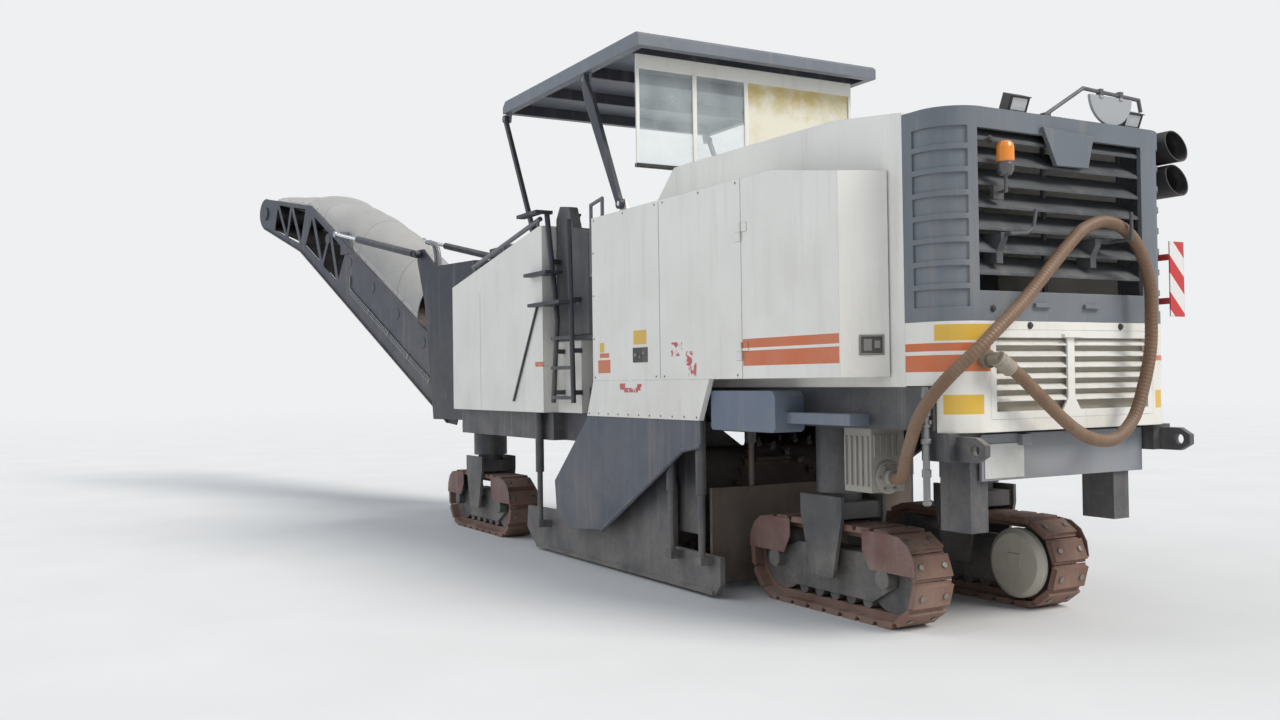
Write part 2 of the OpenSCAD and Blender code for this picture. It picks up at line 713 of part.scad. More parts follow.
module beacon() place() color("#e08a1e") {
    block([seat - louvre_tip, -640, 2560], [8, -560, 2640]);
    bent_rod([[7, -600, 2600], [62, -600, 2600], [62, -600, 2700]], 11);
    translate([62, -600, 2690]) rotate_extrude() polygon([[0, 0], [34, 0], [48, 22], [48, 60], [44, 66], [44, 72],
        [50, 78], [50, 158], [44, 178], [30, 190], [0, 194]]);
}

module mirror_unit() {
    block([mirror_x - 20, -190, cowl_top], [mirror_x + 20, -140, cowl_top + 20]);
    bent_rod([[mirror_x, -165, cowl_top + 12], [mirror_x, 165, cowl_top + 205], [mirror_x, 670, cowl_top + 185],
        [mirror_x, 690, cowl_top + 110]], 12);
    for (y = [300, 480]) block([mirror_x - 16, y, cowl_top + 160], [mirror_x + 16, y + 30, cowl_top + 215]);
    translate([mirror_x - 8, 405, cowl_top + 175]) rotate([90, 0, 90]) linear_extrude(18) difference() {
        scale([1, 0.92]) circle(r = 190);
        translate([-200, 0]) square([400, 200]);
    }
}

module rear_mirror() place() color("#3b3e44") mirror_unit();

module exhaust_pipes() place() color("#17181b") for (z = [cowl_top - 280, cowl_top - 60]) difference() {
    union() {
        bar_x(hood_y + 108, z, 105, -430, 30);
        block([-cowl_len + 5, hood_y, z - 50], [-cowl_len + 45, hood_y + 100, z + 50]);
    }
    bar_x(hood_y + 108, z, 97, -400, 31);
    // Slanted mouth
    translate([-20, hood_y, z - 150]) rotate([0, -16, 0]) cube([200, 300, 400]);
}

module warning_board() place() color("#d8d4d0") {
    block([-60, hood_y + 5, 1920], [-52, hood_y + 145, 2400]);
    for (z = [2000, 2280]) block([-cowl_len + 20, hood_y, z], [-59, hood_y + 10, z + 40]);
}

module hose_fittings() place() color("#3a3d42") {
    difference() {
        bar_x(hose_elbow[1], hose_elbow[2], 52, -20, 40);
        translate([seat, 0, frame_z0]) linear_extrude(cowl_z0 - frame_z0) rear_outline(-cowl_len, hood_y, cowl_r);
    }
    bar_x(hose_elbow[1], hose_elbow[2], hose_r, 39, hose_elbow[0] + 20);
    rod_between(hose_elbow, hose_route[0] - 0.5 * hose_start, hose_r + 3);
    // Upright pipe beside the hose, clamped to the side of the left rail
    translate([-200, -pipe_y, 830]) cylinder(r = pipe_r, h = 670);
    for (z = [rail_z0 + 40, rail_z1 - 60]) block([-235, -pipe_y, z], [-170, -hood_y, z + 24]);
}

module suction_hose() place() color("#6e4a35") {
    route_tube(hose_route, hose_r, hose_sides);
}

// A tube of round section swept through a route's points
module route_tube(pts, r, sides) {
    n = len(pts);
    tangent = [for (i = [0 : n - 1]) let (d = pts[min(i + 1, n - 1)] - pts[max(i - 1, 0)]) d / norm(d)];
    side_dir = [for (t = tangent) let (s = cross(t, [1, 0.2, 0.1])) s / norm(s)];
    up_dir = [for (i = [0 : n - 1]) cross(side_dir[i], tangent[i])];
    ring = [for (i = [0 : n - 1], k = [0 : sides - 1])
        pts[i] + r * (cos(360 * k / sides) * side_dir[i] + sin(360 * k / sides) * up_dir[i])];
    walls = [for (i = [0 : n - 2], k = [0 : sides - 1])
        [i * sides + k, i * sides + (k + 1) % sides, (i + 1) * sides + (k + 1) % sides, (i + 1) * sides + k]];
    polyhedron(ring, concat([[for (k = [sides - 1 : -1 : 0]) k]], walls,
        [[for (k = [0 : sides - 1]) (n - 1) * sides + k]]));
}

module pump_unit() place() color("#34383f") {
    block([-950, -960, 860], [-700, -700, rail_z0]);
    bar_x(-835, 950, hose_r + 12, -701, -640.5);
}

// Side profile of the primary conveyor; edge widens it all round
function primary_profile(edge) = [[primary_x1, primary_low - edge], [primary_x1, primary_low + 220 + edge],
    [primary_x0 + edge / 2, primary_top + edge], [primary_x0 - 0.7 * edge, primary_top - 185],
    [primary_x0 + edge / 2, primary_top - 250 - edge]];

module primary_conveyor() place() color("#2d3036") {
    both_sides() slab(primary_profile(60), primary_y - 40, primary_y);
    slab([[primary_x1, primary_low + 270], [primary_x1, primary_low + 280], [primary_x0, primary_top + 65],
        [primary_x0, primary_top + 55]], -primary_y + 39, primary_y - 39);
}

module primary_belt() place() color("#1b1c1e") {
    slab(primary_profile(-20), -primary_y + 40 + seat, primary_y - 40 - seat);
}

module conveyor_bracket() place() color("#2d3138") {
    lower = front_rail_z0;
    upper = tower_top + 130;
    both_sides() slab([[chassis_x, lower], [chassis_x, 2500], [chassis_x - 250, upper], [pin_x - 120, upper],
        [pin_x - 120, upper - 100], [chassis_x - 320, upper - 100], [chassis_x - 140, 2400], [chassis_x - 140, lower + 80],
        [pin_x - 120, lower + 80], [pin_x - 120, lower]], primary_y + seat, primary_y + 40);
    block([pin_x - 120, -primary_y - 1, lower], [chassis_x, primary_y + 1, lower + 80]);
    translate([pin_x, 0, lower + 79]) cylinder(r = 110, h = tower_z0 - lower - 79 - seat);
    block([pin_x - 120, -primary_y - 1, upper - 100], [chassis_x - 250, primary_y + 1, upper]);
    translate([pin_x, 0, lower + 70]) cylinder(r = pin_r, h = 100);
    translate([pin_x, 0, tower_top - kingpost_t]) cylinder(r = pin_r, h = 200 - kingpost_t);
}

module side_plate_cylinders() place() color("#2c3037") both_sides() {
    for (p = side_rods) difference() {
        translate([p[0], p[1], 740]) cylinder(r = rod_barrel_r, h = p[2] - 740);
        translate([p[0], p[1], 739]) cylinder(r = rod_r + run, h = p[2] - 800);
    }
}

// Track units

function track_point(d, off) =
    let (arc = PI * track_r)
    d < track_run ? [d - track_run / 2, track_r + off]
    : d < track_run + arc ? let (t = (d - track_run) / track_r * 180 / PI)
        [track_run / 2 + (track_r + off) * sin(t), (track_r + off) * cos(t)]
    : d < 2 * track_run + arc ? [track_run / 2 - (d - track_run - arc), -(track_r + off)]
    : let (t = (d - 2 * track_run - arc) / track_r * 180 / PI)
        [-track_run / 2 - (track_r + off) * sin(t), -(track_r + off) * cos(t)];

// Corners of one shoe: a flat plate with a raised, chamfered pad
shoe_profile = [[0.02, -1], [0.02, 13], [0.1, 13], [0.14, shoe_t], [0.86, shoe_t], [0.9, 13], [0.98, 13], [0.98, -1]];

module track_loop_solid() {
    translate([0, track_w / 2, track_h / 2]) rotate([90, 0, 0]) linear_extrude(track_w)
        for (i = [0 : shoe_n - 1]) polygon([for (k = shoe_profile) track_point((i + k[0]) * shoe_pitch, k[1])]);
    translate([0, chain_y, track_h / 2]) rotate([90, 0, 0]) linear_extrude(2 * chain_y) difference() {
        chain_outline(track_r);
        chain_outline(track_r - chain_t);
    }
}

module chain_outline(r) {
    square([track_run, 2 * r], center = true);
    for (s = [-1, 1]) translate([s * track_run / 2, 0]) circle(r = r);
}

module drive_cover() {
    axle = [track_run / 2, 0, track_h / 2];
    translate(axle) rotate([-90, 0, 0]) {
        translate([0, 0, chain_y + 20]) cylinder(r = 150, h = track_w / 2 - chain_y - 14);
        translate([0, 0, track_w / 2 + 5]) cylinder(r = wheel_r + 10, h = 40);
        translate([0, 0, track_w / 2 + 45]) cylinder(r1 = wheel_r + 10, r2 = wheel_r - 25, h = 25);
    }
    // Small square hatch
    translate(axle + [0, track_w / 2 + 69, 20]) cube([110, 14, 90], center = true);
}

// Curved guards over both ends of the loop on its open side
module loop_guards() {
    both_ends() {
        slab([[-860, 350], [-846, 450], [-800, 530], [-720, 580], [-620, 592], [-380, 592], [-380, 470], [-450, 350]],
            track_w / 2 + 5, track_w / 2 + 13);
        bar_y(-track_run / 2, track_h / 2, 62, chain_y + 10, track_w / 2 + 12);
    }
}

module both_ends() {
    children();
    mirror([1, 0, 0]) children();
}

// Rollers that bear on the lower run of the chain
module bottom_rollers() {
    z = track_h / 2 - wheel_r + roller_r;
    for (i = [0 : roller_n - 1]) bar_y(-330 + 660 * i / (roller_n - 1), z, roller_r, -chain_y - 4, chain_y + 4);
}

// cover_side is the side of the drive cover: 1 towards +Y, -1 towards -Y
module track_frame_solid(cover_side, top) {
    plate_y = track_w / 2 + yoke_gap;
    mid = track_h / 2;
    both_ends() bar_y(track_run / 2, mid, wheel_r, -chain_y + 5, chain_y - 5);
    both_ends() bar_y(track_run / 2, mid, 45, -chain_y - 21, chain_y + 21);
    bottom_rollers();
    both_sides() slab([[-track_run / 2 - 50, mid - 50], [-track_run / 2 - 50, mid + 50], [-360, mid + 130],
        [360, mid + 130], [track_run / 2 + 50, mid + 50], [track_run / 2 + 50, mid - 50], [400, mid - 170],
        [-400, mid - 170]], chain_y + 2, chain_y + 22);
    block([-320, -chain_y - 3, mid - 90], [320, chain_y + 3, mid + 130]);
    bar_y(0, mid, 60, -plate_y - yoke_t, plate_y + yoke_t);
    both_sides() slab([[-215, yoke_z1], [215, yoke_z1], [215, yoke_z0 + 20], [115, 250], [-115, 250],
        [-215, yoke_z0 + 20]], plate_y, plate_y + yoke_t);
    block([-190, -plate_y - 1, yoke_z0], [190, plate_y + 1, yoke_z1 - 40]);
    translate([0, 0, yoke_z1 - 41]) cylinder(r = leg_r, h = top - column_roof - seat - yoke_z1 + 41);
    if (cover_side > 0) {
        drive_cover();
        mirror([0, 1, 0]) loop_guards();
    }
    if (cover_side < 0) {
        mirror([0, 1, 0]) drive_cover();
        loop_guards();
    }
}

module at_rear_track(side) {
    place() translate([-rear_track_x, side * rear_gauge / 2, 0]) children();
}

module at_front_track(side) {
    place() translate([-front_track_x, side * front_gauge / 2, 0]) children();
}

module track_rl() color("#6b3a2c") at_rear_track(-1) track_loop_solid();
module track_rr() color("#6b3a2c") at_rear_track(1) track_loop_solid();
module track_fl() color("#6b3a2c") at_front_track(-1) track_loop_solid();
module track_fr() color("#6b3a2c") at_front_track(1) track_loop_solid();
module track_frame_rl() color("#3a3f49") at_rear_track(-1) track_frame_solid(1, rail_z1);
module track_frame_rr() color("#3a3f49") at_rear_track(1) track_frame_solid(-1, rail_z1);
module track_frame_fl() color("#3a3f49") at_front_track(-1) track_frame_solid(1, front_rail_z1);
module track_frame_fr() color("#3a3f49") at_front_track(1) track_frame_solid(-1, front_rail_z1);

// Milling drum and its guards

// One tool: a welded holder with a pick that leans towards the cut
module drum_tool() {
    translate([0, 24, 0]) rotate([90, 0, 0]) linear_extrude(48)
        polygon([[-46, drum_core_r - 8], [42, drum_core_r - 8], [38, drum_core_r + 22], [14, drum_core_r + 46],
        [-22, drum_core_r + 40], [-44, drum_core_r + 16]]);
    translate([0, 0, drum_core_r + 26]) rotate([0, 34, 0]) {
        cylinder(r = 14, h = 46, $fn = 8);
        cylinder(r = 8, h = 64, $fn = 6);
    }
}

module milling_drum() place() color("#3f3a36") translate([-drum_x, 0, drum_z]) {
    rotate([90, 0, 0]) cylinder(r = drum_core_r, h = drum_w, center = true);
    rotate([90, 0, 0]) cylinder(r = shaft_r, h = 2 * housing_y1, center = true);
    // Both halves of each spiral row lead the millings to the middle
    for (row = [0 : tool_rows - 1], i = [0 : tool_n - 1]) {
        y = -drum_w / 2 + 40 + (drum_w - 80) * i / (tool_n - 1);
        translate([0, y, 0]) rotate([0, 360 / tool_rows * row + tool_turn * abs(i - (tool_n - 1) / 2), 0]) drum_tool();
    }
    // Paddles that throw the millings onto the belt
    for (row = [0 : tool_rows - 1]) rotate([0, 360 / tool_rows * (row + 0.5), 0])
        block([-12, -170, drum_core_r - 8], [12, 170, drum_core_r + 52]);
}

module side_plate() {
    slab([[-5470, 190], [-5260, side_plate_z0], [-2240, side_plate_z0], [-2160, side_plate_z0 + 80], [-2160, 300],
        [-2790, 310], [-2790, 780], [-2900, side_plate_z1], [-4300, side_plate_z1], [-4600, 700], [-4700, 400],
        [-5440, 390]], side_plate_y0, side_plate_y0 + side_plate_t);
    // Skid along the lower edge
    slab([[-5250, side_plate_z0], [-2250, side_plate_z0], [-2250, side_plate_z0 + 30], [-5250, side_plate_z0 + 30]],
        side_plate_y0 - 12, side_plate_y0 + side_plate_t + 12);
    for (p = side_rods) {
        block([p[0] - 40, side_plate_y0 + side_plate_t - 1, 240], [p[0] + 40, p[1] + rod_r + 10, 300]);
        translate([p[0], p[1], 299]) cylinder(r = rod_r, h = p[2] - 680);
    }
}

module side_plate_left() place() color("#262a32") mirror([0, 1, 0]) side_plate();
module side_plate_right() place() color("#262a32") side_plate();

module scraper_blade() place() color("#2a2d33") {
    block([blade_x, -housing_y1 + 60, blade_z0], [blade_x + blade_t, housing_y1 - 60, blade_z1]);
    both_sides() {
        block([scraper_rod_x - 40, scraper_rod_y - 40, blade_z1 - 80], [scraper_rod_x + 40, scraper_rod_y + 40, blade_z1]);
        translate([scraper_rod_x, scraper_rod_y, blade_z1 - 1]) cylinder(r = scraper_rod_r, h = blade_travel + 160);
    }
}

// Rear side doors

module hinge_knuckles(lift, bore) {
    for (z = door_hinge_z) translate([-door_hinge_x, door_hinge_y, z + lift]) difference() {
        cylinder(r = knuckle_r, h = knuckle_h);
        if (bore > 0) translate([0, 0, -1]) cylinder(r = bore, h = knuckle_h + 2);
    }
}

module side_door() {
    slab([[-door_x, panel_z0], [-door_rear, panel_z0], [-door_rear, panel_z1 - door_drop], [-door_rear - 670, panel_z1],
        [-door_x, panel_z1]], skin_y, body_y);
    translate([0, 0, panel_z0]) linear_extrude(panel_z1 - door_drop - panel_z0)
        polygon([[-door_rear - panel_t, skin_y + 1], [-door_rear, body_y], [-door_rear + 130, hood_y + 10],
            [-door_rear + 90, hood_y + 10]]);
    hinge_knuckles(knuckle_h + seat, hinge_pin_r + run);
    for (z = door_hinge_z)
        difference() {
            block([-door_hinge_x, body_y - 1, z + knuckle_h + seat], [-door_hinge_x + 70, body_y + 5, z + 2 * knuckle_h + seat]);
            translate([-door_hinge_x, door_hinge_y, z]) cylinder(r = hinge_pin_r + run, h = 3 * knuckle_h);
        }
}

module door_left() place() color("#dcdbd7") mirror([0, 1, 0]) side_door();
module door_right() place() color("#dcdbd7") side_door();

// Canopy

// A pair of roof arms: low, broad and top are their widths at the foot, below the head and at the head
module arm_pair(x, low, broad, top, thick_r) {
    reach = 0.82;
    both_sides() difference() {
        union() {
            slab([[x - low / 2, arm_base_z], [x + low / 2, arm_base_z],
                [x - reach * arm_dx + broad / 2, arm_base_z + reach * arm_rise],
                [x - arm_dx + top / 2, arm_base_z + arm_rise], [x - arm_dx - top / 2, arm_base_z + arm_rise],
                [x - reach * arm_dx - broad / 2, arm_base_z + reach * arm_rise]], arm_y0, arm_y0 + arm_t);
            bar_y(x, arm_base_z, thick_r, arm_y0, arm_y0 + arm_t);
            bar_y(x - arm_dx, arm_base_z + arm_rise, thick_r, arm_y0, arm_y0 + arm_t);
        }
        bar_y(x, arm_base_z, arm_pin_r + run, arm_y0 - 1, arm_y0 + arm_t + 1);
        bar_y(x - arm_dx, arm_base_z + arm_rise, arm_pin_r + run, arm_y0 - 1, arm_y0 + arm_t + 1);
    }
}

module canopy_rear_arms() place() color("#22252b") arm_pair(rear_arm_x, 76, 138, 76, 44);
module canopy_front_arms() place() color("#22252b") arm_pair(front_arm_x, 46, 46, 46, 36);

module roof_pivot(x) {
    z = arm_base_z + arm_rise;
    slab([[x - 60, z + arm_head + 5], [x + 60, z + arm_head + 5], [x + 35, z - 35], [x - 35, z - 35]],
        arm_y0 - 10 - arm_bracket_t, arm_y0 - 10);
    bar_y(x, z, arm_pin_r, arm_y0 - 11, arm_y0 + arm_t);
}

module canopy_roof() place() color("#3c424c") {
    x0 = -roof_x - roof_len;
    low = roof_z - roof_t;
    difference() {
        slab([[x0, low], [x0, roof_z - 50], [x0 + 60, roof_z], [-roof_x - 30, roof_z], [-roof_x, roof_z - 25],
            [-roof_x, low]], -roof_w / 2, roof_w / 2);
        block([x0 + roof_rim, -roof_w / 2 + roof_rim, low - 1], [-roof_x - roof_rim, roof_w / 2 - roof_rim, roof_z - roof_skin]);
    }
    for (x = [x0 + roof_len * 0.3, x0 + roof_len * 0.6, glass_x - roof_rib_t / 2])
        block([x, -roof_w / 2 + roof_rim - 1, low], [x + roof_rib_t, roof_w / 2 - roof_rim + 1, roof_z - roof_skin + 1]);
    both_sides() {
        roof_pivot(rear_arm_x - arm_dx);
        roof_pivot(front_arm_x - arm_dx);
    }
}

module canopy_glass() place() color([0.7, 0.8, 0.85, 0.5]) {
    block([glass_x - glass_t / 2, -glass_y, glass_z0], [glass_x + glass_t / 2, glass_y, roof_z - roof_t]);
}

// Slewing tower and discharge conveyor

module at_pin() {
    place() translate([pin_x, 0, 0]) rotate([0, 0, slew]) children();
}

// A plate outline given as distance from the slewing pin and height
module conv_slab(points, y0, y1) {
    slab([for (p = points) [-p[0], p[1]]], y0, y1);
}

module slew_tower() at_pin() color("#2a2f3a") difference() {
    union() {
        tower_pins();
        both_sides() conv_slab([[tower_s0, tower_z0], [1180, tower_z0], [1250, 1700], [1350, 2500], [1520, 3050],
            [1520, 3190], [1380, 3190], [1100, tower_top], [tower_s0, tower_top]], tower_w / 2 - tower_t, tower_w / 2);
        translate([0, 0, tower_z0]) linear_extrude(60) polygon([[150, -150], [150, 150], [-tower_s0, tower_w / 2 - 1],
            [-450, tower_w / 2 - 1], [-450, -tower_w / 2 + 1], [-tower_s0, -tower_w / 2 + 1]]);
        translate([0, 0, tower_top - kingpost_t]) linear_extrude(kingpost_t)
            polygon([[150, -150], [150, 150], [-tower_s0, tower_w / 2 - 1],
            [-1050, tower_w / 2 - 1], [-1050, -tower_w / 2 + 1], [-tower_s0, -tower_w / 2 + 1]]);
    }
    translate([0, 0, tower_z0 - 1]) cylinder(r = pin_r + run, h = 62);
    translate([0, 0, tower_top - kingpost_t - 1]) cylinder(r = pin_r + run, h = kingpost_t + 2);
    bar_y(-luff_s, luff_z, luff_pin_r + run, -tower_w, tower_w);
}

module tower_pins() {
    both_sides() bar_y(-cyl_anchor[0], cyl_anchor[1], cyl_pin_r, tower_w / 2 - tower_t, cyl_y + cyl_eye_w / 2 + 10);
}

// Outline of the conveyor's side frame
function conv_outline() = let (d = conv_d, nx = sin(climb), nz = cos(climb))
    [[conv_s0 - 180, conv_z0 - 20], [conv_s0, conv_z0], [kink_s, kink_z],
    [head_s + head_r * sin(climb_top), head_z - head_r * cos(climb_top)],
    [head_s - head_r * sin(climb_top), head_z + head_r * cos(climb_top)],
    [kink_s - d * nx, kink_z + d * nz], [conv_s0 - d * nx, conv_z0 + d * nz],
    [conv_s0 - d * nx - 20, conv_z0 + d * nz - 200]];

// A point u along the lower section's bottom edge and h above it
function low_point(u, h) = [conv_s0 + u * cos(climb) - h * sin(climb), conv_z0 + u * sin(climb) + h * cos(climb)];

// A point v along the upper section's bottom edge; t is the share of the frame's depth there
function top_point(v, t) = let (q = v / belt_len_top, h = t * (conv_d * (1 - q) + 2 * head_r * q))
    [kink_s + v * cos(climb_top) - h * sin(climb_top), kink_z + v * sin(climb_top) + h * cos(climb_top)];

// A point in a bay, x and y going from 0 to 1 between its four corners
function in_bay(c, x, y) = (1 - x) * (1 - y) * c[0] + x * (1 - y) * c[1] + x * y * c[2] + (1 - x) * y * c[3];

// The two openings of a bay, either side of its diagonal
module bay_openings(c) {
    for (t = [[[0, 0.1], [0, 1], [0.9, 1]], [[0.1, 0], [1, 0], [1, 0.9]]])
        conv_slab([for (p = t) in_bay(c, p[0], p[1])], conv_y - conv_t - 1, conv_y + 1);
}

// A lip w wide along the line from p to q
function lip(p, q, w) = let (d = (q - p) / norm(q - p), n = [-d[1], d[0]]) [p, q, q + w * n, p + w * n];

module conveyor_frame() at_pin() color("#333a48") {
    share = chord / conv_d;
    both_sides() {
        difference() {
            union() {
                conv_slab(conv_outline(), conv_y - conv_t, conv_y);
                bar_y(-head_s, head_z, head_r, conv_y - conv_t, conv_y);
            }
            for (i = [0 : len(bay_u) - 2]) let (u0 = bay_u[i], u1 = bay_u[i + 1] - bar_w)
                bay_openings([low_point(u0, 1.45 * chord), low_point(u1, 1.45 * chord),
                    low_point(u1, conv_d - chord), low_point(u0, conv_d - chord)]);
            for (i = [0 : len(bay_v) - 2]) let (v0 = bay_v[i], v1 = bay_v[i + 1] - bar_w)
                bay_openings([top_point(v0, share), top_point(v1, share), top_point(v1, 1 - share), top_point(v0, 1 - share)]);
        }
        bar_y(-luff_s, luff_z, luff_pin_r, conv_y - 1, tower_w / 2);
        conv_slab(lip(low_point(0, 0), low_point(belt_len_low + 8, 0), 14), conv_y - 1, conv_y + 24);
        conv_slab(lip(low_point(belt_len_low, 0), top_point(belt_len_top - 40, 0), 14), conv_y - 1, conv_y + 24);
        conv_slab(lip(low_point(700, conv_d - 16), low_point(belt_len_low - 220, conv_d - 16), 14), conv_y - 1, conv_y + 24);
        for (i = [1 : idler_n - 1]) idler_plate(i);
        bar_y(-head_s, head_z, 100, conv_y - 1, conv_y + 24);
        conv_slab([[cyl_eye[0] - 170, cyl_eye[1] - 260], [cyl_eye[0] - 45, cyl_eye[1] + 30],
            [cyl_eye[0] + 45, cyl_eye[1] + 30], [cyl_eye[0] + 200, cyl_eye[1] - 60],
            [cyl_eye[0] + 200, cyl_eye[1] - 260]], conv_y - 1, conv_y + conv_t);
        bar_y(-cyl_eye[0], cyl_eye[1], cyl_r - 5, conv_y + 1, cyl_y - cyl_eye_w / 2 - gap);
    }
}

// Bearing of an upper idler on the side frame
module idler_plate(i) {
    p = idler_point(i, belt_r - idler_r - seat);
    bar_y(p[0], p[1], idler_r + 28, conv_y - conv_t, conv_y + 6);
}

// Middle of an idler that stands off the belt's middle line, measured square to the lower section
function idler_point(i, off) = belt_point(i / idler_n) + off * [sin(climb), cos(climb)];

// A point on the belt's middle line; t is the share of the lower section's length
function belt_point(t) = let (a = belt_tail + t * (belt_kink - belt_tail)) [-a[0], a[1]];

module conveyor_rollers() at_pin() color("#4d4f52") {
    wide = conv_y - conv_t;
    bar_y(-belt_tail[0], belt_tail[1], belt_r - seat, -wide, wide);
    bar_y(-head_s, head_z, belt_head_r - seat, -wide, wide);
    for (i = [1 : idler_n]) {
        high = idler_point(i, belt_r - idler_r - seat);
        low = idler_point(i, -belt_r - belt_t - idler_r - seat);
        bar_y(high[0], high[1], idler_r, -wide, wide);
        if (i < idler_n) bar_y(low[0], low[1], idler_r, -wide, wide);
    }
}

// Corners of a many-sided arc whose flats touch the circle of radius r
function arc_points(c, r, a0, a1, n) = let (step = (a1 - a0) / n) concat([c + r * [cos(a0), sin(a0)]],
    [for (i = [0 : n - 1]) let (a = a0 + step * (i + 0.5)) c + r / cos(step / 2) * [cos(a), sin(a)]],
    [c + r * [cos(a1), sin(a1)]]);

// The belt's loop round its tail roller, over its bend and round its head roller
function belt_outline(r_low, r_top) =
    let (tail = [-belt_tail[0], belt_tail[1]], bend = [-belt_kink[0], belt_kink[1]], head = [-head_s, head_z],
        low = bend - tail, top = head - bend, a1 = atan2(low[1], low[0]), a2 = atan2(top[1], top[0]),
        open = acos((r_low - r_top) / norm(top)), n1 = [cos(a1 + 90), sin(a1 + 90)],
        n2 = [cos(a2 + open), sin(a2 + open)])
    concat(arc_points(tail, r_low, a1 + 90, a1 + 270, 20), arc_points(bend, r_low, a1 + 270, a2 - open + 360, 3),
        arc_points(head, r_top, a2 - open, a2 + open, 20), [bend + r_low * (n1 + n2) / (1 + n1 * n2)]);

module conveyor_belt() at_pin() color("#202226") {
    translate([0, belt_y, 0]) rotate([90, 0, 0]) linear_extrude(2 * belt_y) difference() {
        polygon(belt_outline(belt_r + belt_t, belt_head_r + belt_t));
        polygon(belt_outline(belt_r, belt_head_r));
    }
}

// Where the side frame's top edge bends, and its height above the ground at distance s
bend = low_point(belt_len_low, conv_d);
function frame_top(s) = s <= bend[0] ? bend[1] + (s - bend[0]) * tan(climb)
    : bend[1] + (s - bend[0]) * (top_point(belt_len_top, 1)[1] - bend[1]) / (top_point(belt_len_top, 1)[0] - bend[0]);

// One arched section of the cover; t is its thickness measured inwards
function cover_section(s, h, t) = [for (k = [0 : cover_arc_n]) let (a = 180 * k / cover_arc_n)
    [-s, (conv_y - 2 - t) * cos(a), frame_top(s) + seat + (h - t) * sin(a)]];

// Distances of the cover's sections, one of them at the bend
cover_stations = concat([for (i = [0 : 6]) cover_s0 + (bend[0] - cover_s0) * i / 7],
    [for (i = [0 : 3]) bend[0] + (cover_s1 - bend[0]) * i / 3]);

cover_points = [for (s = cover_stations) let (h = lookup(s, cover_rise))
    each concat(cover_section(s, h, 0), cover_section(s, h, cover_t))];

function cover_faces(slices) = let (m = cover_arc_n + 1, w = 2 * m) concat(
    [for (i = [0 : slices - 1], k = [0 : cover_arc_n - 1]) [i * w + k, i * w + k + 1, (i + 1) * w + k + 1, (i + 1) * w + k]],
    [for (i = [0 : slices - 1], k = [0 : cover_arc_n - 1])
        [i * w + m + k, (i + 1) * w + m + k, (i + 1) * w + m + k + 1, i * w + m + k + 1]],
    [for (i = [0 : slices - 1]) [i * w, (i + 1) * w, (i + 1) * w + m, i * w + m]],
    [for (i = [0 : slices - 1]) [i * w + m - 1, i * w + w - 1, (i + 1) * w + w - 1, (i + 1) * w + m - 1]],
    [for (k = [0 : cover_arc_n - 1]) [k, m + k, m + k + 1, k + 1]],
    [for (k = [0 : cover_arc_n - 1])
        [slices * w + k, slices * w + k + 1, slices * w + m + k + 1, slices * w + m + k]]);

module conveyor_cover() at_pin() color("#8d8a84") {
    // Arched sheet over the side frames, highest near the tower
    polyhedron(cover_points, cover_faces(len(cover_stations) - 1));
}

module on_cylinder() {
    at_pin() translate([-cyl_anchor[0], 0, cyl_anchor[1]]) rotate([0, cyl_angle, 0]) children();
}

module luff_barrels() on_cylinder() color("#2a2d33") both_sides() difference() {
    union() {
        bar_x(cyl_y, 0, cyl_r, -cyl_barrel_len, -80);
        bar_y(0, 0, cyl_r, cyl_y - cyl_eye_w / 2, cyl_y + cyl_eye_w / 2);
        block([-81, cyl_y - cyl_eye_w / 2, -30], [-30, cyl_y + cyl_eye_w / 2, 30]);
    }
    bar_x(cyl_y, 0, cyl_rod_r + run, -cyl_barrel_len - 1, -220);
    bar_y(0, 0, cyl_pin_r + run, cyl_y - cyl_r - 1, cyl_y + cyl_r + 1);
}

module luff_rods() on_cylinder() color("#c9ccd0") both_sides() {
    bar_x(cyl_y, 0, cyl_rod_r, -cyl_len, -500);
    bar_y(-cyl_len, 0, cyl_r - 5, cyl_y - cyl_eye_w / 2, cyl_y + cyl_eye_w / 2);
}

chassis();
drum_housing();
front_body();
side_panels();
side_skirts();
drum_shields();
engine_hood();
engine_block();
rear_cowl();
rear_louvres();
rear_frame();
rear_flap();
rear_plate();
platform();
operator_station();
handrails();
ladders();
side_steps();
lamps();
beacon();
rear_mirror();
exhaust_pipes();
warning_board();
hose_fittings();
suction_hose();
pump_unit();
primary_conveyor();
primary_belt();
conveyor_bracket();
side_plate_cylinders();
track_rl();
track_rr();
track_fl();
track_fr();
track_frame_rl();
track_frame_rr();
track_frame_fl();
track_frame_fr();
milling_drum();
side_plate_left();
side_plate_right();
scraper_blade();
door_left();
door_right();
canopy_roof();
canopy_glass();
canopy_rear_arms();
canopy_front_arms();
slew_tower();
conveyor_frame();
conveyor_rollers();
conveyor_belt();
conveyor_cover();
luff_barrels();
luff_rods();
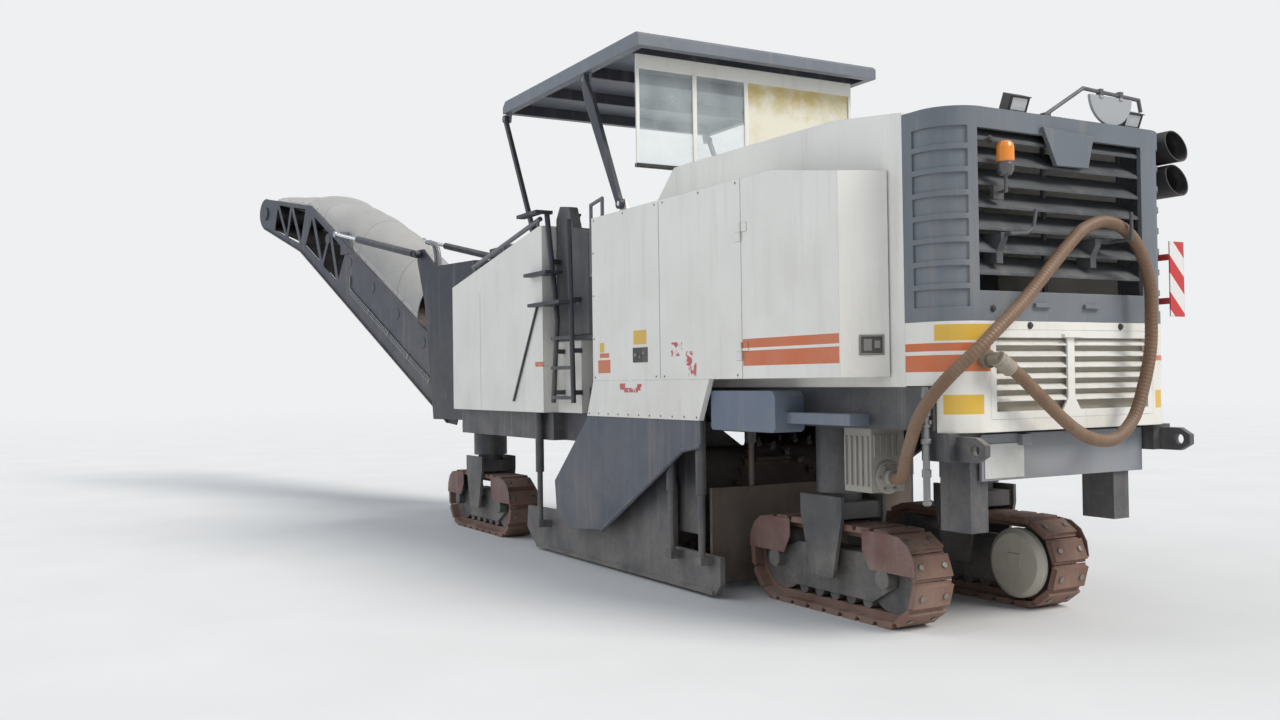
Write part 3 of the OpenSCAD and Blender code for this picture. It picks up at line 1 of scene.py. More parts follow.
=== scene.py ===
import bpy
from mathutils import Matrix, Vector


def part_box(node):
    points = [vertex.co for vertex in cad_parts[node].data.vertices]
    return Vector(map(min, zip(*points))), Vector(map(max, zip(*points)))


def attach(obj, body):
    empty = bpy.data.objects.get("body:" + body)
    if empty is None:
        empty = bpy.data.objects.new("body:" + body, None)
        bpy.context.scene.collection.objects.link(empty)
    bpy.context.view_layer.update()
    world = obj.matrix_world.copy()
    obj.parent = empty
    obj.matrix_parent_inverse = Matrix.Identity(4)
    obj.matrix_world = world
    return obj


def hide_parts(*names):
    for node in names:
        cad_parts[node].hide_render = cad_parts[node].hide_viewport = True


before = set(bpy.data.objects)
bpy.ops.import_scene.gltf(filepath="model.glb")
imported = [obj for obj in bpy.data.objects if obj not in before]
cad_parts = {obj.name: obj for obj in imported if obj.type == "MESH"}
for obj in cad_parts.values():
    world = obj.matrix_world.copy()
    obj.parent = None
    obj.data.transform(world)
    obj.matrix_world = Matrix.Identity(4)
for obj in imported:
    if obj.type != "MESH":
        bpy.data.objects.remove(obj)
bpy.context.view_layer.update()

"""Looks of a cold planer milling machine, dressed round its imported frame.

Lengths are in metres. Machine coordinates run from the rear face (X, less than 0 ahead of it), from the
centre line to the right (Y) and from the ground up (Z). Colours are linear red, green and blue.
"""

import logging
import math
from dataclasses import dataclass, field, replace
from enum import Enum
from typing import Any, Callable

import bpy
import numpy as np
from mathutils import Matrix

LOG = logging.getLogger("planer")
Array = np.ndarray
Point = tuple[float, float, float]
Colour = tuple[float, float, float]
Pair = tuple[float, float]
Outline = tuple[Pair, ...]


def machine_origin() -> Array:
    """Where the machine's rear face, centre line and ground lie in the row frame."""
    rear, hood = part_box("rear_frame"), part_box("engine_hood")
    return np.array([rear[1].x, (hood[0].y + hood[1].y) / 2, 0.0])


MACHINE = machine_origin()
SLEW = math.radians(11.0)
SLEW_PIN_X = -7.75
CONVEYOR_CLIMB = math.radians(31)
BEVEL_FROM = math.radians(50)


def place(points: Any) -> Array:
    """Moves machine coordinates into the row frame.

    Args:
        points: (..., 3) points in machine coordinates.
    Returns:
        The same points in the row frame.
    """
    return np.asarray(points, float) + MACHINE


def on_conveyor(points: Any) -> Array:
    """Moves conveyor coordinates (forward from the pin, to the right, up) into the row frame.

    Forward runs towards -X, so this mirrors what it moves.

    Args:
        points: (..., 3) points along the slewed conveyor.
    Returns:
        The same points in the row frame.
    """
    p = np.asarray(points, float)
    x, y = -p[..., 0], p[..., 1]
    slewed = np.stack([SLEW_PIN_X + x * math.cos(SLEW) - y * math.sin(SLEW),
                       x * math.sin(SLEW) + y * math.cos(SLEW), p[..., 2]], -1)
    return place(slewed)


class Side(Enum):
    """The machine's two sides, each with the sign of its Y."""

    LEFT = -1
    RIGHT = 1

    def span(self, near: float, far: float) -> Pair:
        """Two distances from the centre line as Y values, the lower first."""
        return min(self.value * near, self.value * far), max(self.value * near, self.value * far)


class Plane(Enum):
    """The plane of an outline, as the numbers of its two axes."""

    XY = (0, 1)
    XZ = (0, 2)


@dataclass
class Shape:
    """Closed surfaces gathered into one mesh."""

    points: list[Array] = field(default_factory=list)
    quads: list[Array] = field(default_factory=list)
    tris: list[Array] = field(default_factory=list)
    count: int = 0

    def add(self, points: Array, quads: Array | None = None, tris: Array | None = None) -> "Shape":
        """Adds one surface.

        Args:
            points: (n, 3) points.
            quads: (k, 4) corner numbers into points.
            tris: (k, 3) corner numbers into points.
        Returns:
            This shape, so that calls can be chained.
        """
        if quads is not None:
            self.quads.append(np.asarray(quads, int) + self.count)
        if tris is not None:
            self.tris.append(np.asarray(tris, int) + self.count)
        self.points.append(np.asarray(points, float))
        self.count += len(points)
        return self

    def join(self, other: "Shape") -> None:
        """Takes in the surfaces of another shape.

        Args:
            other: the other shape.
        """
        self.quads += [q + self.count for q in other.quads]
        self.tris += [t + self.count for t in other.tris]
        self.points += other.points
        self.count += other.count

    def moved(self, change: Callable[[Array], Array], mirrored: bool = False) -> "Shape":
        """A copy whose points have been through a function of an (n, 3) array.

        Args:
            change: the function.
            mirrored: whether it mirrors, so that the faces have to be turned round again.
        Returns:
            The copy, its faces outwards.
        """
        step = -1 if mirrored else 1
        return Shape([change(np.concatenate(self.points))], [q[:, ::step] for q in self.quads],
                     [t[:, ::step] for t in self.tris], self.count)

    def on_side(self, side: Side) -> "Shape":
        """A shape of the right side, in machine coordinates, brought to either side of the row frame.

        Args:
            side: where it goes.
        Returns:
            The shape there, its faces outwards.
        """
        def change(points: Array) -> Array:
            """Mirrors points for the left side, and places them."""
            return place(points * (1, side.value, 1))

        return self.moved(change, mirrored=side is Side.LEFT)


def grid_quads(rows: int, columns: int, closed: bool = False) -> Array:
    """Corner numbers of a grid's faces, which look along (to the next column) x (to the next row).

    Args:
        rows: number of rows, whose points are stored one row after another.
        columns: points in each row.
        closed: joins the last column to the first.
    Returns:
        (k, 4) corner numbers.
    """
    r = np.arange(rows - 1)[:, None]
    c = np.arange(columns if closed else columns - 1)[None, :]
    beside = (c + 1) % columns
    corners = [r * columns + beside, (r + 1) * columns + beside, (r + 1) * columns + c, r * columns + c]
    return np.stack([np.broadcast_to(k, (r.size, c.size)) for k in corners], -1).reshape(-1, 4)


def ring_faces(rings: int, sides: int) -> tuple[Array, Array]:
    """Faces of stacked rings that run counterclockwise about the way they are stacked.

    Args:
        rings: how many rings.
        sides: points in each ring.
    Returns:
        The quads between the rings, and fans to two end points that follow the rings' own points.
    """
    first, last = rings * sides, (rings - 1) * sides
    k = np.arange(sides)
    start = np.stack([np.full(sides, first), (k + 1) % sides, k], -1)
    end = np.stack([np.full(sides, first + 1), last + k, last + (k + 1) % sides], -1)
    return grid_quads(rings, sides, closed=True), np.vstack([start, end])


def frames_along(path: Array, hint: Any) -> tuple[Array, Array]:
    """Two unit directions square to a path at each of its points.

    Args:
        path: (n, 3) points.
        hint: a direction that the path never runs along.
    Returns:
        The side direction, tangent x hint made unit, and the up direction, side x tangent.
    """
    tangent = np.gradient(path, axis=0)
    tangent /= np.linalg.norm(tangent, axis=1, keepdims=True)
    side = np.cross(tangent, np.asarray(hint, float))
    side /= np.linalg.norm(side, axis=1, keepdims=True)
    return side, np.cross(side, tangent)


def tube(path: Any, radius: Any, sides: int, hint: Any) -> Shape:
    """A closed round tube along a path: centre + radius (cos a side - sin a up).

    Args:
        path: (n, 3) points.
        radius: one radius, or one for each point.
        sides: points round the tube.
        hint: a direction that the path never runs along.
    Returns:
        The tube with flat ends.
    """
    path = np.asarray(path, float)
    side, up = frames_along(path, hint)
    angle = np.linspace(0, 2 * np.pi, sides, endpoint=False)
    r = np.broadcast_to(np.asarray(radius, float), len(path))[:, None, None]
    ring = np.cos(angle)[None, :, None] * side[:, None] - np.sin(angle)[None, :, None] * up[:, None]
    points = (path[:, None] + r * ring).reshape(-1, 3)
    return Shape().add(np.vstack([points, path[:1], path[-1:]]), *ring_faces(len(path), sides))


def prism(outline: Any, low: float, high: float, plane: Plane = Plane.XZ) -> Shape:
    """A flat outline of few corners drawn out square to its plane, closed by fans.

    Args:
        outline: (n, 2) corners of a convex outline.
        low: where it starts along the third axis.
        high: where it ends.
        plane: the outline's plane.
    Returns:
        The closed prism.
    """
    flat = np.asarray(outline, float)
    i, j = plane.value
    third = 3 - i - j
    n = len(flat)
    points = np.zeros((2 * n, 3))
    points[:, [i, j]] = np.vstack([flat, flat])
    points[:, third] = np.repeat([low, high], n)
    k = np.arange(n)
    quads = np.stack([k, (k + 1) % n, n + (k + 1) % n, n + k], -1)
    fan = np.stack([np.zeros(n - 2, int), k[1:-1], k[2:]], -1)
    area = np.sum(flat[:, 0] * np.roll(flat[:, 1], -1) - np.roll(flat[:, 0], -1) * flat[:, 1])
    step = 1 if (area > 0) == (plane is Plane.XY) else -1
    return Shape().add(points, quads[:, ::step], np.vstack([fan[:, ::-1], fan + n])[:, ::step])


def box(low: Any, high: Any) -> Shape:
    """A box between two opposite corners."""
    (x0, y0, z0), (x1, y1, z1) = low, high
    return prism([[x0, y0], [x1, y0], [x1, y1], [x0, y1]], z0, z1, Plane.XY)


def turned(profile: Any, centre: Any, axis: Any, sides: int) -> Shape:
    """A profile of radius and height turned about an axis: centre + height axis + radius ring.

    Args:
        profile: (n, 2) radii and heights, upwards; a radius of 0 at an end is its pole.
        centre: a point on the axis at height 0.
        axis: the axis direction.
        sides: points round the axis.
    Returns:
        The turned surface, its ends closed at the axis.
    """
    flat = np.asarray(profile, float)
    a = np.asarray(axis, float) / np.linalg.norm(axis)
    no_axis = (0.3, 0.5, 0.8)
    s = np.cross(a, no_axis)
    s /= np.linalg.norm(s)
    t = np.cross(a, s)
    angle = np.linspace(0, 2 * np.pi, sides, endpoint=False)
    ring = np.cos(angle)[:, None] * s + np.sin(angle)[:, None] * t
    ends = np.asarray(centre) + flat[[0, -1], 1:] * a
    flat = flat[flat[:, 0] > 0]
    points = np.asarray(centre) + flat[:, None, 1:] * a + flat[:, None, :1] * ring
    return Shape().add(np.vstack([points.reshape(-1, 3), ends]), *ring_faces(len(flat), sides))


def repeated(shape: Shape, offsets: Any) -> Shape:
    """Copies of a shape at many places.

    Args:
        shape: what is copied.
        offsets: (n, 3) moves, one for each copy.
    Returns:
        All copies as one shape.
    """
    base = np.concatenate(shape.points)
    moves = np.asarray(offsets, float)
    shift = (np.arange(len(moves)) * len(base))[:, None, None]
    quads = (np.concatenate(shape.quads)[None] + shift).reshape(-1, 4)
    tris = (np.concatenate(shape.tris)[None] + shift).reshape(-1, 3)
    return Shape().add((base[None] + moves[:, None]).reshape(-1, 3), quads, tris)


def smooth_path(points: Any, step: float) -> Array:
    """A smooth curve through points, by cubic segments between neighbours (Catmull-Rom).

    Args:
        points: (n, 3) points.
        step: distance between the curve's points.
    Returns:
        Points along the curve, evenly spaced.
    """
    p = np.asarray(points, float)
    p = np.vstack([2 * p[0] - p[1], p, 2 * p[-1] - p[-2]])
    t = np.linspace(0, 1, 40, endpoint=False)[None, :, None]
    a, b, c, d = (p[i:len(p) - 3 + i][:, None] for i in range(4))
    squared, cubed = 2 * a - 5 * b + 4 * c - d, 3 * b - a - 3 * c + d
    curve = 0.5 * (2 * b + (c - a) * t + squared * t ** 2 + cubed * t ** 3)
    curve = np.vstack([curve.reshape(-1, 3), p[-2]])
    along = run_along(curve)
    even = np.linspace(0, along[-1], max(2, int(along[-1] / step)))
    return np.stack([np.interp(even, along, curve[:, k]) for k in range(3)], -1)


def run_along(path: Array) -> Array:
    """Distance of each point of a path from its start, along the path."""
    return np.concatenate([[0], np.cumsum(np.linalg.norm(np.diff(path, axis=0), axis=1))])


def tilted(points: Array, angle: float, centre: Any) -> Array:
    """Points turned about Y by an angle and then moved to a centre.

    Args:
        points: (..., 3) points.
        angle: the turn, which takes +X towards -Z.
        centre: where the origin goes.
    Returns:
        The moved points.
    """
    c, q = math.cos(angle), math.sin(angle)
    x, y, z = points[..., 0], points[..., 1], points[..., 2]
    return np.stack([x * c + z * q, y, z * c - x * q], -1) + centre


def build(name: str, shape: Shape, finish: "Coating", body: str, smooth: float = 35.0,
          bevel: float = 0.0, uv: Array | None = None) -> bpy.types.Object:
    """Makes a piece from a shape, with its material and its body.

    Args:
        name: the piece's name.
        shape: its surfaces, in the row frame.
        finish: what it is made of.
        body: the body that it rides on.
        smooth: edges sharper than this many degrees stay crisp.
        bevel: width of its rounded edges.
        uv: (n, 2) pattern coordinates, one pair for each point.
    Returns:
        The new object.
    """
    points = np.concatenate(shape.points)
    quads = np.concatenate(shape.quads)
    tris = np.concatenate(shape.tris) if shape.tris else np.zeros((0, 3), int)
    mesh = bpy.data.meshes.new(name)
    mesh.vertices.add(len(points))
    mesh.vertices.foreach_set("co", points.ravel())
    corners = np.concatenate([quads.ravel(), tris.ravel()])
    starts = np.concatenate([np.arange(len(quads)) * 4, len(quads) * 4 + np.arange(len(tris)) * 3])
    mesh.loops.add(len(corners))
    mesh.loops.foreach_set("vertex_index", corners)
    mesh.polygons.add(len(starts))
    mesh.polygons.foreach_set("loop_start", starts)
    mesh.update(calc_edges=True)
    mesh.validate()
    if uv is not None:
        layer = mesh.uv_layers.new(name="Pattern")
        layer.data.foreach_set("uv", uv[corners].ravel())
    mesh.shade_smooth()
    mesh.set_sharp_from_angle(angle=math.radians(smooth))
    mesh.materials.append(finish.material())
    piece = bpy.data.objects.new(name, mesh)
    bpy.context.scene.collection.objects.link(piece)
    if bevel > 0:
        rounder = piece.modifiers.new("Edges", "BEVEL")
        rounder.width, rounder.segments, rounder.limit_method = bevel, 2, "ANGLE"
        rounder.angle_limit = BEVEL_FROM
    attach(piece, body)
    LOG.info("%s: %d faces on %s", name, len(starts), body)
    return piece


def node(tree: Any, kind: str, inputs: dict[Any, Any] | None = None, **settings: Any) -> Any:
    """Adds a shader node, sets it and joins its inputs.

    Args:
        tree: the node tree.
        kind: the node's type.
        inputs: values or sockets by input name or number.
        settings: the node's own settings.
    Returns:
        The node.
    """
    made = tree.nodes.new(kind)
    for key, value in settings.items():
        setattr(made, key, value)
    for key, value in (inputs or {}).items():
        if isinstance(value, bpy.types.NodeSocket):
            tree.links.new(value, made.inputs[key])
        else:
            made.inputs[key].default_value = value
    return made


def maths(tree: Any, operation: str, *values: Any, clamp: bool = False) -> Any:
    """The result of a Math node on up to three values or sockets."""
    inputs = dict(enumerate(values))
    return node(tree, "ShaderNodeMath", inputs, operation=operation, use_clamp=clamp).outputs[0]


def vector_maths(tree: Any, operation: str, *vectors: Any) -> Any:
    """The outputs of a Vector Math node on one or two vectors."""
    return node(tree, "ShaderNodeVectorMath", dict(enumerate(vectors)), operation=operation).outputs


def parts_of(tree: Any, vector: Any) -> Any:
    """A vector's X, Y and Z."""
    return node(tree, "ShaderNodeSeparateXYZ", {0: vector}).outputs


def remap(tree: Any, value: Any, low: Any, high: Any, to_low: float = 0.0, to_high: float = 1.0) -> Any:
    """A value stretched from one range to another and kept inside it."""
    inputs = {"Value": value, "From Min": low, "From Max": high, "To Min": to_low, "To Max": to_high}
    return node(tree, "ShaderNodeMapRange", inputs).outputs[0]


def mixed(tree: Any, share: Any, first: Any, second: Any) -> Any:
    """A colour between two others.

    Args:
        tree: the node tree.
        share: 0 gives the first colour and 1 the second.
        first: a colour or a socket.
        second: a colour or a socket.
    Returns:
        The mixed colour's socket.
    """
    # A Mix node's colours are its inputs 6 and 7 and its output 2.
    colours = [(*value, 1.0) if isinstance(value, tuple) else value for value in (first, second)]
    inputs = {0: share, 6: colours[0], 7: colours[1]}
    return node(tree, "ShaderNodeMix", inputs, data_type="RGBA").outputs[2]


def noise(tree: Any, where: Any, scale: Any, detail: float = 4.0, roughness: float = 0.55) -> Any:
    """The value of a noise texture at a coordinate."""
    inputs = {"Vector": where, "Scale": scale, "Detail": detail, "Roughness": roughness}
    return node(tree, "ShaderNodeTexNoise", inputs).outputs[0]


def object_place(tree: Any) -> Any:
    """The Object coordinates, which are metres in the row frame."""
    return node(tree, "ShaderNodeTexCoord").outputs["Object"]


def own_uv(tree: Any) -> Any:
    """The two coordinates of the piece's own UV map."""
    return parts_of(tree, node(tree, "ShaderNodeTexCoord").outputs["UV"])


def empty_material(name: str) -> bpy.types.Material:
    """A new material without nodes.

    Args:
        name: its name.
    Returns:
        The material.
    """
    made = bpy.data.materials.new(name)
    made.use_nodes = True
    made.node_tree.nodes.clear()
    return made


@dataclass
class Effect:
    """A node group shared by many materials, made once."""

    name: str
    inputs: dict[str, Any]
    outputs: dict[str, str]
    fill: Callable[[Any, dict[str, Any]], dict[str, Any]]

    def tree(self) -> Any:
        """The group's node tree, built at the first call.

        Returns:
            The node tree.
        """
        found = bpy.data.node_groups.get(self.name)
        if found:
            return found
        tree = bpy.data.node_groups.new(self.name, "ShaderNodeTree")
        for label, value in self.inputs.items():
            kind = "Vector" if isinstance(value, tuple) else "Float"
            made = tree.interface.new_socket(label, in_out="INPUT", socket_type="NodeSocket" + kind)
            made.default_value = value
        for label, kind in self.outputs.items():
            tree.interface.new_socket(label, in_out="OUTPUT", socket_type="NodeSocket" + kind)
        given = node(tree, "NodeGroupInput").outputs
        results = self.fill(tree, {label: given[label] for label in self.inputs})
        node(tree, "NodeGroupOutput", results)
        return tree

    def use(self, tree: Any, **values: Any) -> dict[str, Any]:
        """Places the group in a material.

        Args:
            tree: the material's node tree.
            values: the group's own input values, by name.
        Returns:
            The group's outputs by name.
        """
        made = node(tree, "ShaderNodeGroup", values, node_tree=self.tree())
        return {label: made.outputs[label] for label in self.outputs}


def fill_edges(tree: Any, given: dict[str, Any]) -> dict[str, Any]:
    """Rounded normals from nearby faces, and a mask where they turn away from the true one.

    Args:
        tree: the group's node tree.
        given: the group's inputs by name.
    Returns:
        The group's results by name.
    """
    rounded = node(tree, "ShaderNodeBevel", {"Radius": given["Radius"]}, samples=4).outputs[0]
    true = node(tree, "ShaderNodeNewGeometry").outputs["Normal"]
    facing = vector_maths(tree, "DOT_PRODUCT", rounded, true)["Value"]
    edge = remap(tree, facing, low=0.985, high=0.80)
    patches = remap(tree, noise(tree, object_place(tree), given["Patches"]), low=0.42, high=0.62)
    chipped = maths(tree, "MULTIPLY", edge, patches)
    return {"Normal": rounded, "Mask": maths(tree, "MULTIPLY", chipped, given["Amount"])}


def fill_dust(tree: Any, given: dict[str, Any]) -> dict[str, Any]:
    """More dust on low and on level surfaces, broken up by two sizes of noise.

    Args:
        tree: the group's node tree.
        given: the group's inputs by name.
    Returns:
        The group's results by name.
    """
    where = object_place(tree)
    low = remap(tree, parts_of(tree, where)[2], low=given["High"], high=given["Low"])
    normal = node(tree, "ShaderNodeNewGeometry").outputs["Normal"]
    level = remap(tree, parts_of(tree, normal)[2], low=0.35, high=0.95)
    cloudy = remap(tree, noise(tree, where, scale=2.1, detail=6.0, roughness=0.62), low=0.30, high=0.68)
    speckled = noise(tree, where, scale=38.0, detail=3.0, roughness=0.7)
    fine = remap(tree, speckled, low=0.25, high=0.75, to_low=0.55)
    lying = maths(tree, "ADD", maths(tree, "MULTIPLY", low, 0.8), maths(tree, "MULTIPLY", level, 0.7))
    mask = maths(tree, "MULTIPLY", maths(tree, "MULTIPLY", lying, cloudy), fine)
    return {"Mask": maths(tree, "MULTIPLY", mask, given["Amount"], clamp=True)}


def fill_streaks(tree: Any, given: dict[str, Any]) -> dict[str, Any]:
    """Upright run marks: noise stretched fifteen times along Z.

    Args:
        tree: the group's node tree.
        given: the group's inputs by name.
    Returns:
        The group's results by name.
    """
    parts = parts_of(tree, object_place(tree))
    long = maths(tree, "MULTIPLY", parts[2], 0.066)
    where = node(tree, "ShaderNodeCombineXYZ", {0: parts[0], 1: parts[1], 2: long}).outputs[0]
    marks = remap(tree, noise(tree, where, given["Scale"], detail=5.0, roughness=0.7), low=0.52, high=0.72)
    return {"Mask": maths(tree, "MULTIPLY", marks, given["Amount"])}


def fill_zone(tree: Any, given: dict[str, Any]) -> dict[str, Any]:
    """1 inside a box, where the largest of |offset| / half size stays under 1, eaten away by noise.

    Args:
        tree: the group's node tree.
        given: the group's inputs by name.
    Returns:
        The group's results by name.
    """
    where = object_place(tree)
    offset = vector_maths(tree, "ABSOLUTE", vector_maths(tree, "SUBTRACT", where, given["Middle"])[0])[0]
    parts = parts_of(tree, vector_maths(tree, "DIVIDE", offset, given["Half"])[0])
    largest = maths(tree, "MAXIMUM", maths(tree, "MAXIMUM", parts[0], parts[1]), parts[2])
    inside = maths(tree, "LESS_THAN", largest, 1.0)
    spots = noise(tree, where, scale=16.0, detail=5.0, roughness=0.6)
    eaten = maths(tree, "SUBTRACT", spots, given["Ragged"])
    return {"Mask": maths(tree, "MULTIPLY", inside, remap(tree, eaten, low=0.0, high=0.04))}


EDGES = Effect("Rounded edges", {"Radius": 0.006, "Patches": 9.0, "Amount": 1.0},
               {"Normal": "Vector", "Mask": "Float"}, fill_edges)
DUST = Effect("Road dust", {"Amount": 0.5, "Low": 0.3, "High": 2.2}, {"Mask": "Float"}, fill_dust)
STREAKS = Effect("Run marks", {"Amount": 0.3, "Scale": 9.0}, {"Mask": "Float"}, fill_streaks)
ZONE = Effect("Painted box", {"Middle": (0.0, 0.0, 0.0), "Half": (1.0, 1.0, 1.0), "Ragged": 0.0},
              {"Mask": "Float"}, fill_zone)


@dataclass(frozen=True)
class Zone:
    """A box, in machine coordinates, inside which a finish has another colour."""

    low: Point
    high: Point
    colour: Colour
    ragged: float = 0.0
    both_sides: bool = False

    def paint(self, tree: Any, base: Any) -> Any:
        """Paints this zone over a colour, and its mirror image too where it is on both sides.

        Args:
            tree: the material's node tree.
            base: the colour under the zone.
        Returns:
            The colour with the zone over it.
        """
        for mirror in (1, -1) if self.both_sides else (1,):
            low, high = (place(np.array(corner) * (1, mirror, 1)) for corner in (self.low, self.high))
            mask = ZONE.use(tree, Middle=tuple((low + high) / 2), Half=tuple(np.abs(high - low) / 2),
                            Ragged=self.ragged)["Mask"]
            base = mixed(tree, mask, base, self.colour)
        return base


@dataclass(frozen=True)
class Coating:
    """What every finish has."""

    name: str
    slot: str
    colour: Colour

    def fill(self, tree: Any) -> None:
        """Makes the material's nodes; each kind of finish has its own.

        Args:
            tree: the material's node tree.
        """
        raise NotImplementedError

    def material(self) -> bpy.types.Material:
        """The material, made at the first call.

        Returns:
            The Blender material.
        """
        found = bpy.data.materials.get(self.name)
        if found is None:
            found = empty_material(self.name)
            self.fill(found.node_tree)
        return found


@dataclass(frozen=True)
class Finish(Coating):
    """A solid finish with its grain, dust, run marks and worn edges."""

    drift: float = 0.10
    rough: float = 0.45
    metal: float = 0.0
    coat: float = 0.0
    sheen: float = 0.0
    edge: float = 0.006
    wear: float = 0.6
    wear_colour: Colour = (0.16, 0.12, 0.10)
    dust: float = 0.5
    dust_low: float = 0.2
    dust_high: float = 2.4
    dust_colour: Colour = (0.36, 0.32, 0.27)
    dust_rough: float = 0.35
    streaks: float = 0.3
    streak_colour: Colour = (0.30, 0.26, 0.22)
    grain: float = 160.0
    bump: float = 0.15
    zones: tuple[Zone, ...] = ()

    def pattern(self, tree: Any, base: Any) -> Any:
        """Draws the zones over the base colour, before dust and wear; some finishes draw their own pattern.

        Args:
            tree: the material's node tree.
            base: the base colour.
        Returns:
            The colour with its pattern.
        """
        for zone in self.zones:
            base = zone.paint(tree, base)
        return base

    def relief(self, tree: Any) -> Any:
        """The height of the surface's fine grain."""
        return noise(tree, object_place(tree), self.grain, detail=3.0, roughness=0.6)

    def fill(self, tree: Any) -> None:
        """Lays pattern, run marks, worn edges and dust over a colour that drifts a little.

        Args:
            tree: the material's node tree.
        """
        where = object_place(tree)
        cloud = remap(tree, noise(tree, where, scale=1.7, detail=5.0), low=0.3, high=0.7)
        darker = tuple(c * (1 - self.drift) for c in self.colour)
        lighter = tuple(min(1.0, c * (1 + self.drift / 2)) for c in self.colour)
        base = self.pattern(tree, mixed(tree, cloud, darker, lighter))
        marks = STREAKS.use(tree, Amount=self.streaks)["Mask"]
        base = mixed(tree, marks, base, self.streak_colour)
        edges = EDGES.use(tree, Radius=self.edge, Amount=self.wear)
        base = mixed(tree, edges["Mask"], base, self.wear_colour)
        dusty = DUST.use(tree, Amount=self.dust, Low=self.dust_low, High=self.dust_high)["Mask"]
        base = mixed(tree, dusty, base, self.dust_colour)
        spread = remap(tree, noise(tree, where, scale=7.0), low=0.3, high=0.7, to_low=-0.06, to_high=0.08)
        duller = maths(tree, "MULTIPLY_ADD", dusty, self.dust_rough, spread)
        rough = maths(tree, "ADD", duller, self.rough, clamp=True)
        bump = node(tree, "ShaderNodeBump", {"Strength": self.bump, "Distance": 0.002,
                                             "Height": self.relief(tree), "Normal": edges["Normal"]})
        shader = node(tree, "ShaderNodeBsdfPrincipled", {
            "Base Color": base, "Roughness": rough, "Metallic": self.metal, "Normal": bump.outputs[0],
            "Coat Weight": self.coat, "Coat Roughness": 0.25, "Sheen Weight": self.sheen})
        node(tree, "ShaderNodeOutputMaterial", {0: shader.outputs[0]})


@dataclass(frozen=True)
class StripedFinish(Finish):
    """Slanting stripes, where the fraction of (Y + Z) / pitch passes the ground's share."""

    pitch: float = 0.235
    ground: float = 0.52
    stripe: Colour = (0.55, 0.03, 0.03)

    def pattern(self, tree: Any, base: Any) -> Any:
        """Draws the slanting stripes over the base colour.

        Args:
            tree: the material's node tree.
            base: the base colour.
        Returns:
            The colour with its stripes.
        """
        parts = parts_of(tree, object_place(tree))
        along = maths(tree, "MULTIPLY", maths(tree, "ADD", parts[1], parts[2]), 1 / self.pitch)
        striped = maths(tree, "GREATER_THAN", maths(tree, "FRACT", along), self.ground)
        return mixed(tree, striped, base, self.stripe)


@dataclass(frozen=True)
class ClothFinish(Finish):
    """A woven finish with a stitched hem; U is the distance from the nearest edge and V the one along it."""

    sheen: float = 0.2
    threads: float = 150.0
    weave: float = 0.25
    folds: float = 6.0
    hem: float = 0.075
    hem_colour: Colour = (0.47, 0.46, 0.44)
    stitch_inset: float = 0.006
    stitch_half: float = 0.0022
    stitches: float = 55.0
    stitch_gap: float = 0.35
    stitch_colour: Colour = (0.12, 0.12, 0.12)
    seam_pitch: float = 1.19
    seam_half: float = 0.006
    seam_colour: Colour = (0.20, 0.195, 0.19)

    def pattern(self, tree: Any, base: Any) -> Any:
        """Draws the pale hem, its row of stitches and the seams across the sheet.

        Args:
            tree: the material's node tree.
            base: the base colour.
        Returns:
            The colour with its pattern.
        """
        u, v = own_uv(tree)[:2]
        base = mixed(tree, maths(tree, "LESS_THAN", u, self.hem), base, self.hem_colour)
        row = maths(tree, "COMPARE", u, self.hem - self.stitch_inset, self.stitch_half)
        phase = maths(tree, "FRACT", maths(tree, "MULTIPLY", v, self.stitches))
        stitch = maths(tree, "MULTIPLY", row, maths(tree, "GREATER_THAN", phase, self.stitch_gap))
        base = mixed(tree, stitch, base, self.stitch_colour)
        across = maths(tree, "FRACT", maths(tree, "MULTIPLY", v, 1 / self.seam_pitch))
        return mixed(tree, maths(tree, "COMPARE", across, 0.5, self.seam_half), base, self.seam_colour)

    def relief(self, tree: Any) -> Any:
        """Adds the weave, (sin of U + sin of V) at the threads' pitch, and soft folds to the grain.

        Args:
            tree: the material's node tree.
        Returns:
            The height's socket.
        """
        turns = self.threads * 2 * math.pi
        waves = [maths(tree, "SINE", maths(tree, "MULTIPLY", part, turns)) for part in own_uv(tree)[:2]]
        weave = maths(tree, "MULTIPLY", maths(tree, "ADD", *waves), self.weave)
        fold = maths(tree, "MULTIPLY", noise(tree, object_place(tree), scale=3.2, detail=3.0), self.folds)
        return maths(tree, "ADD", maths(tree, "ADD", super().relief(tree), weave), fold)


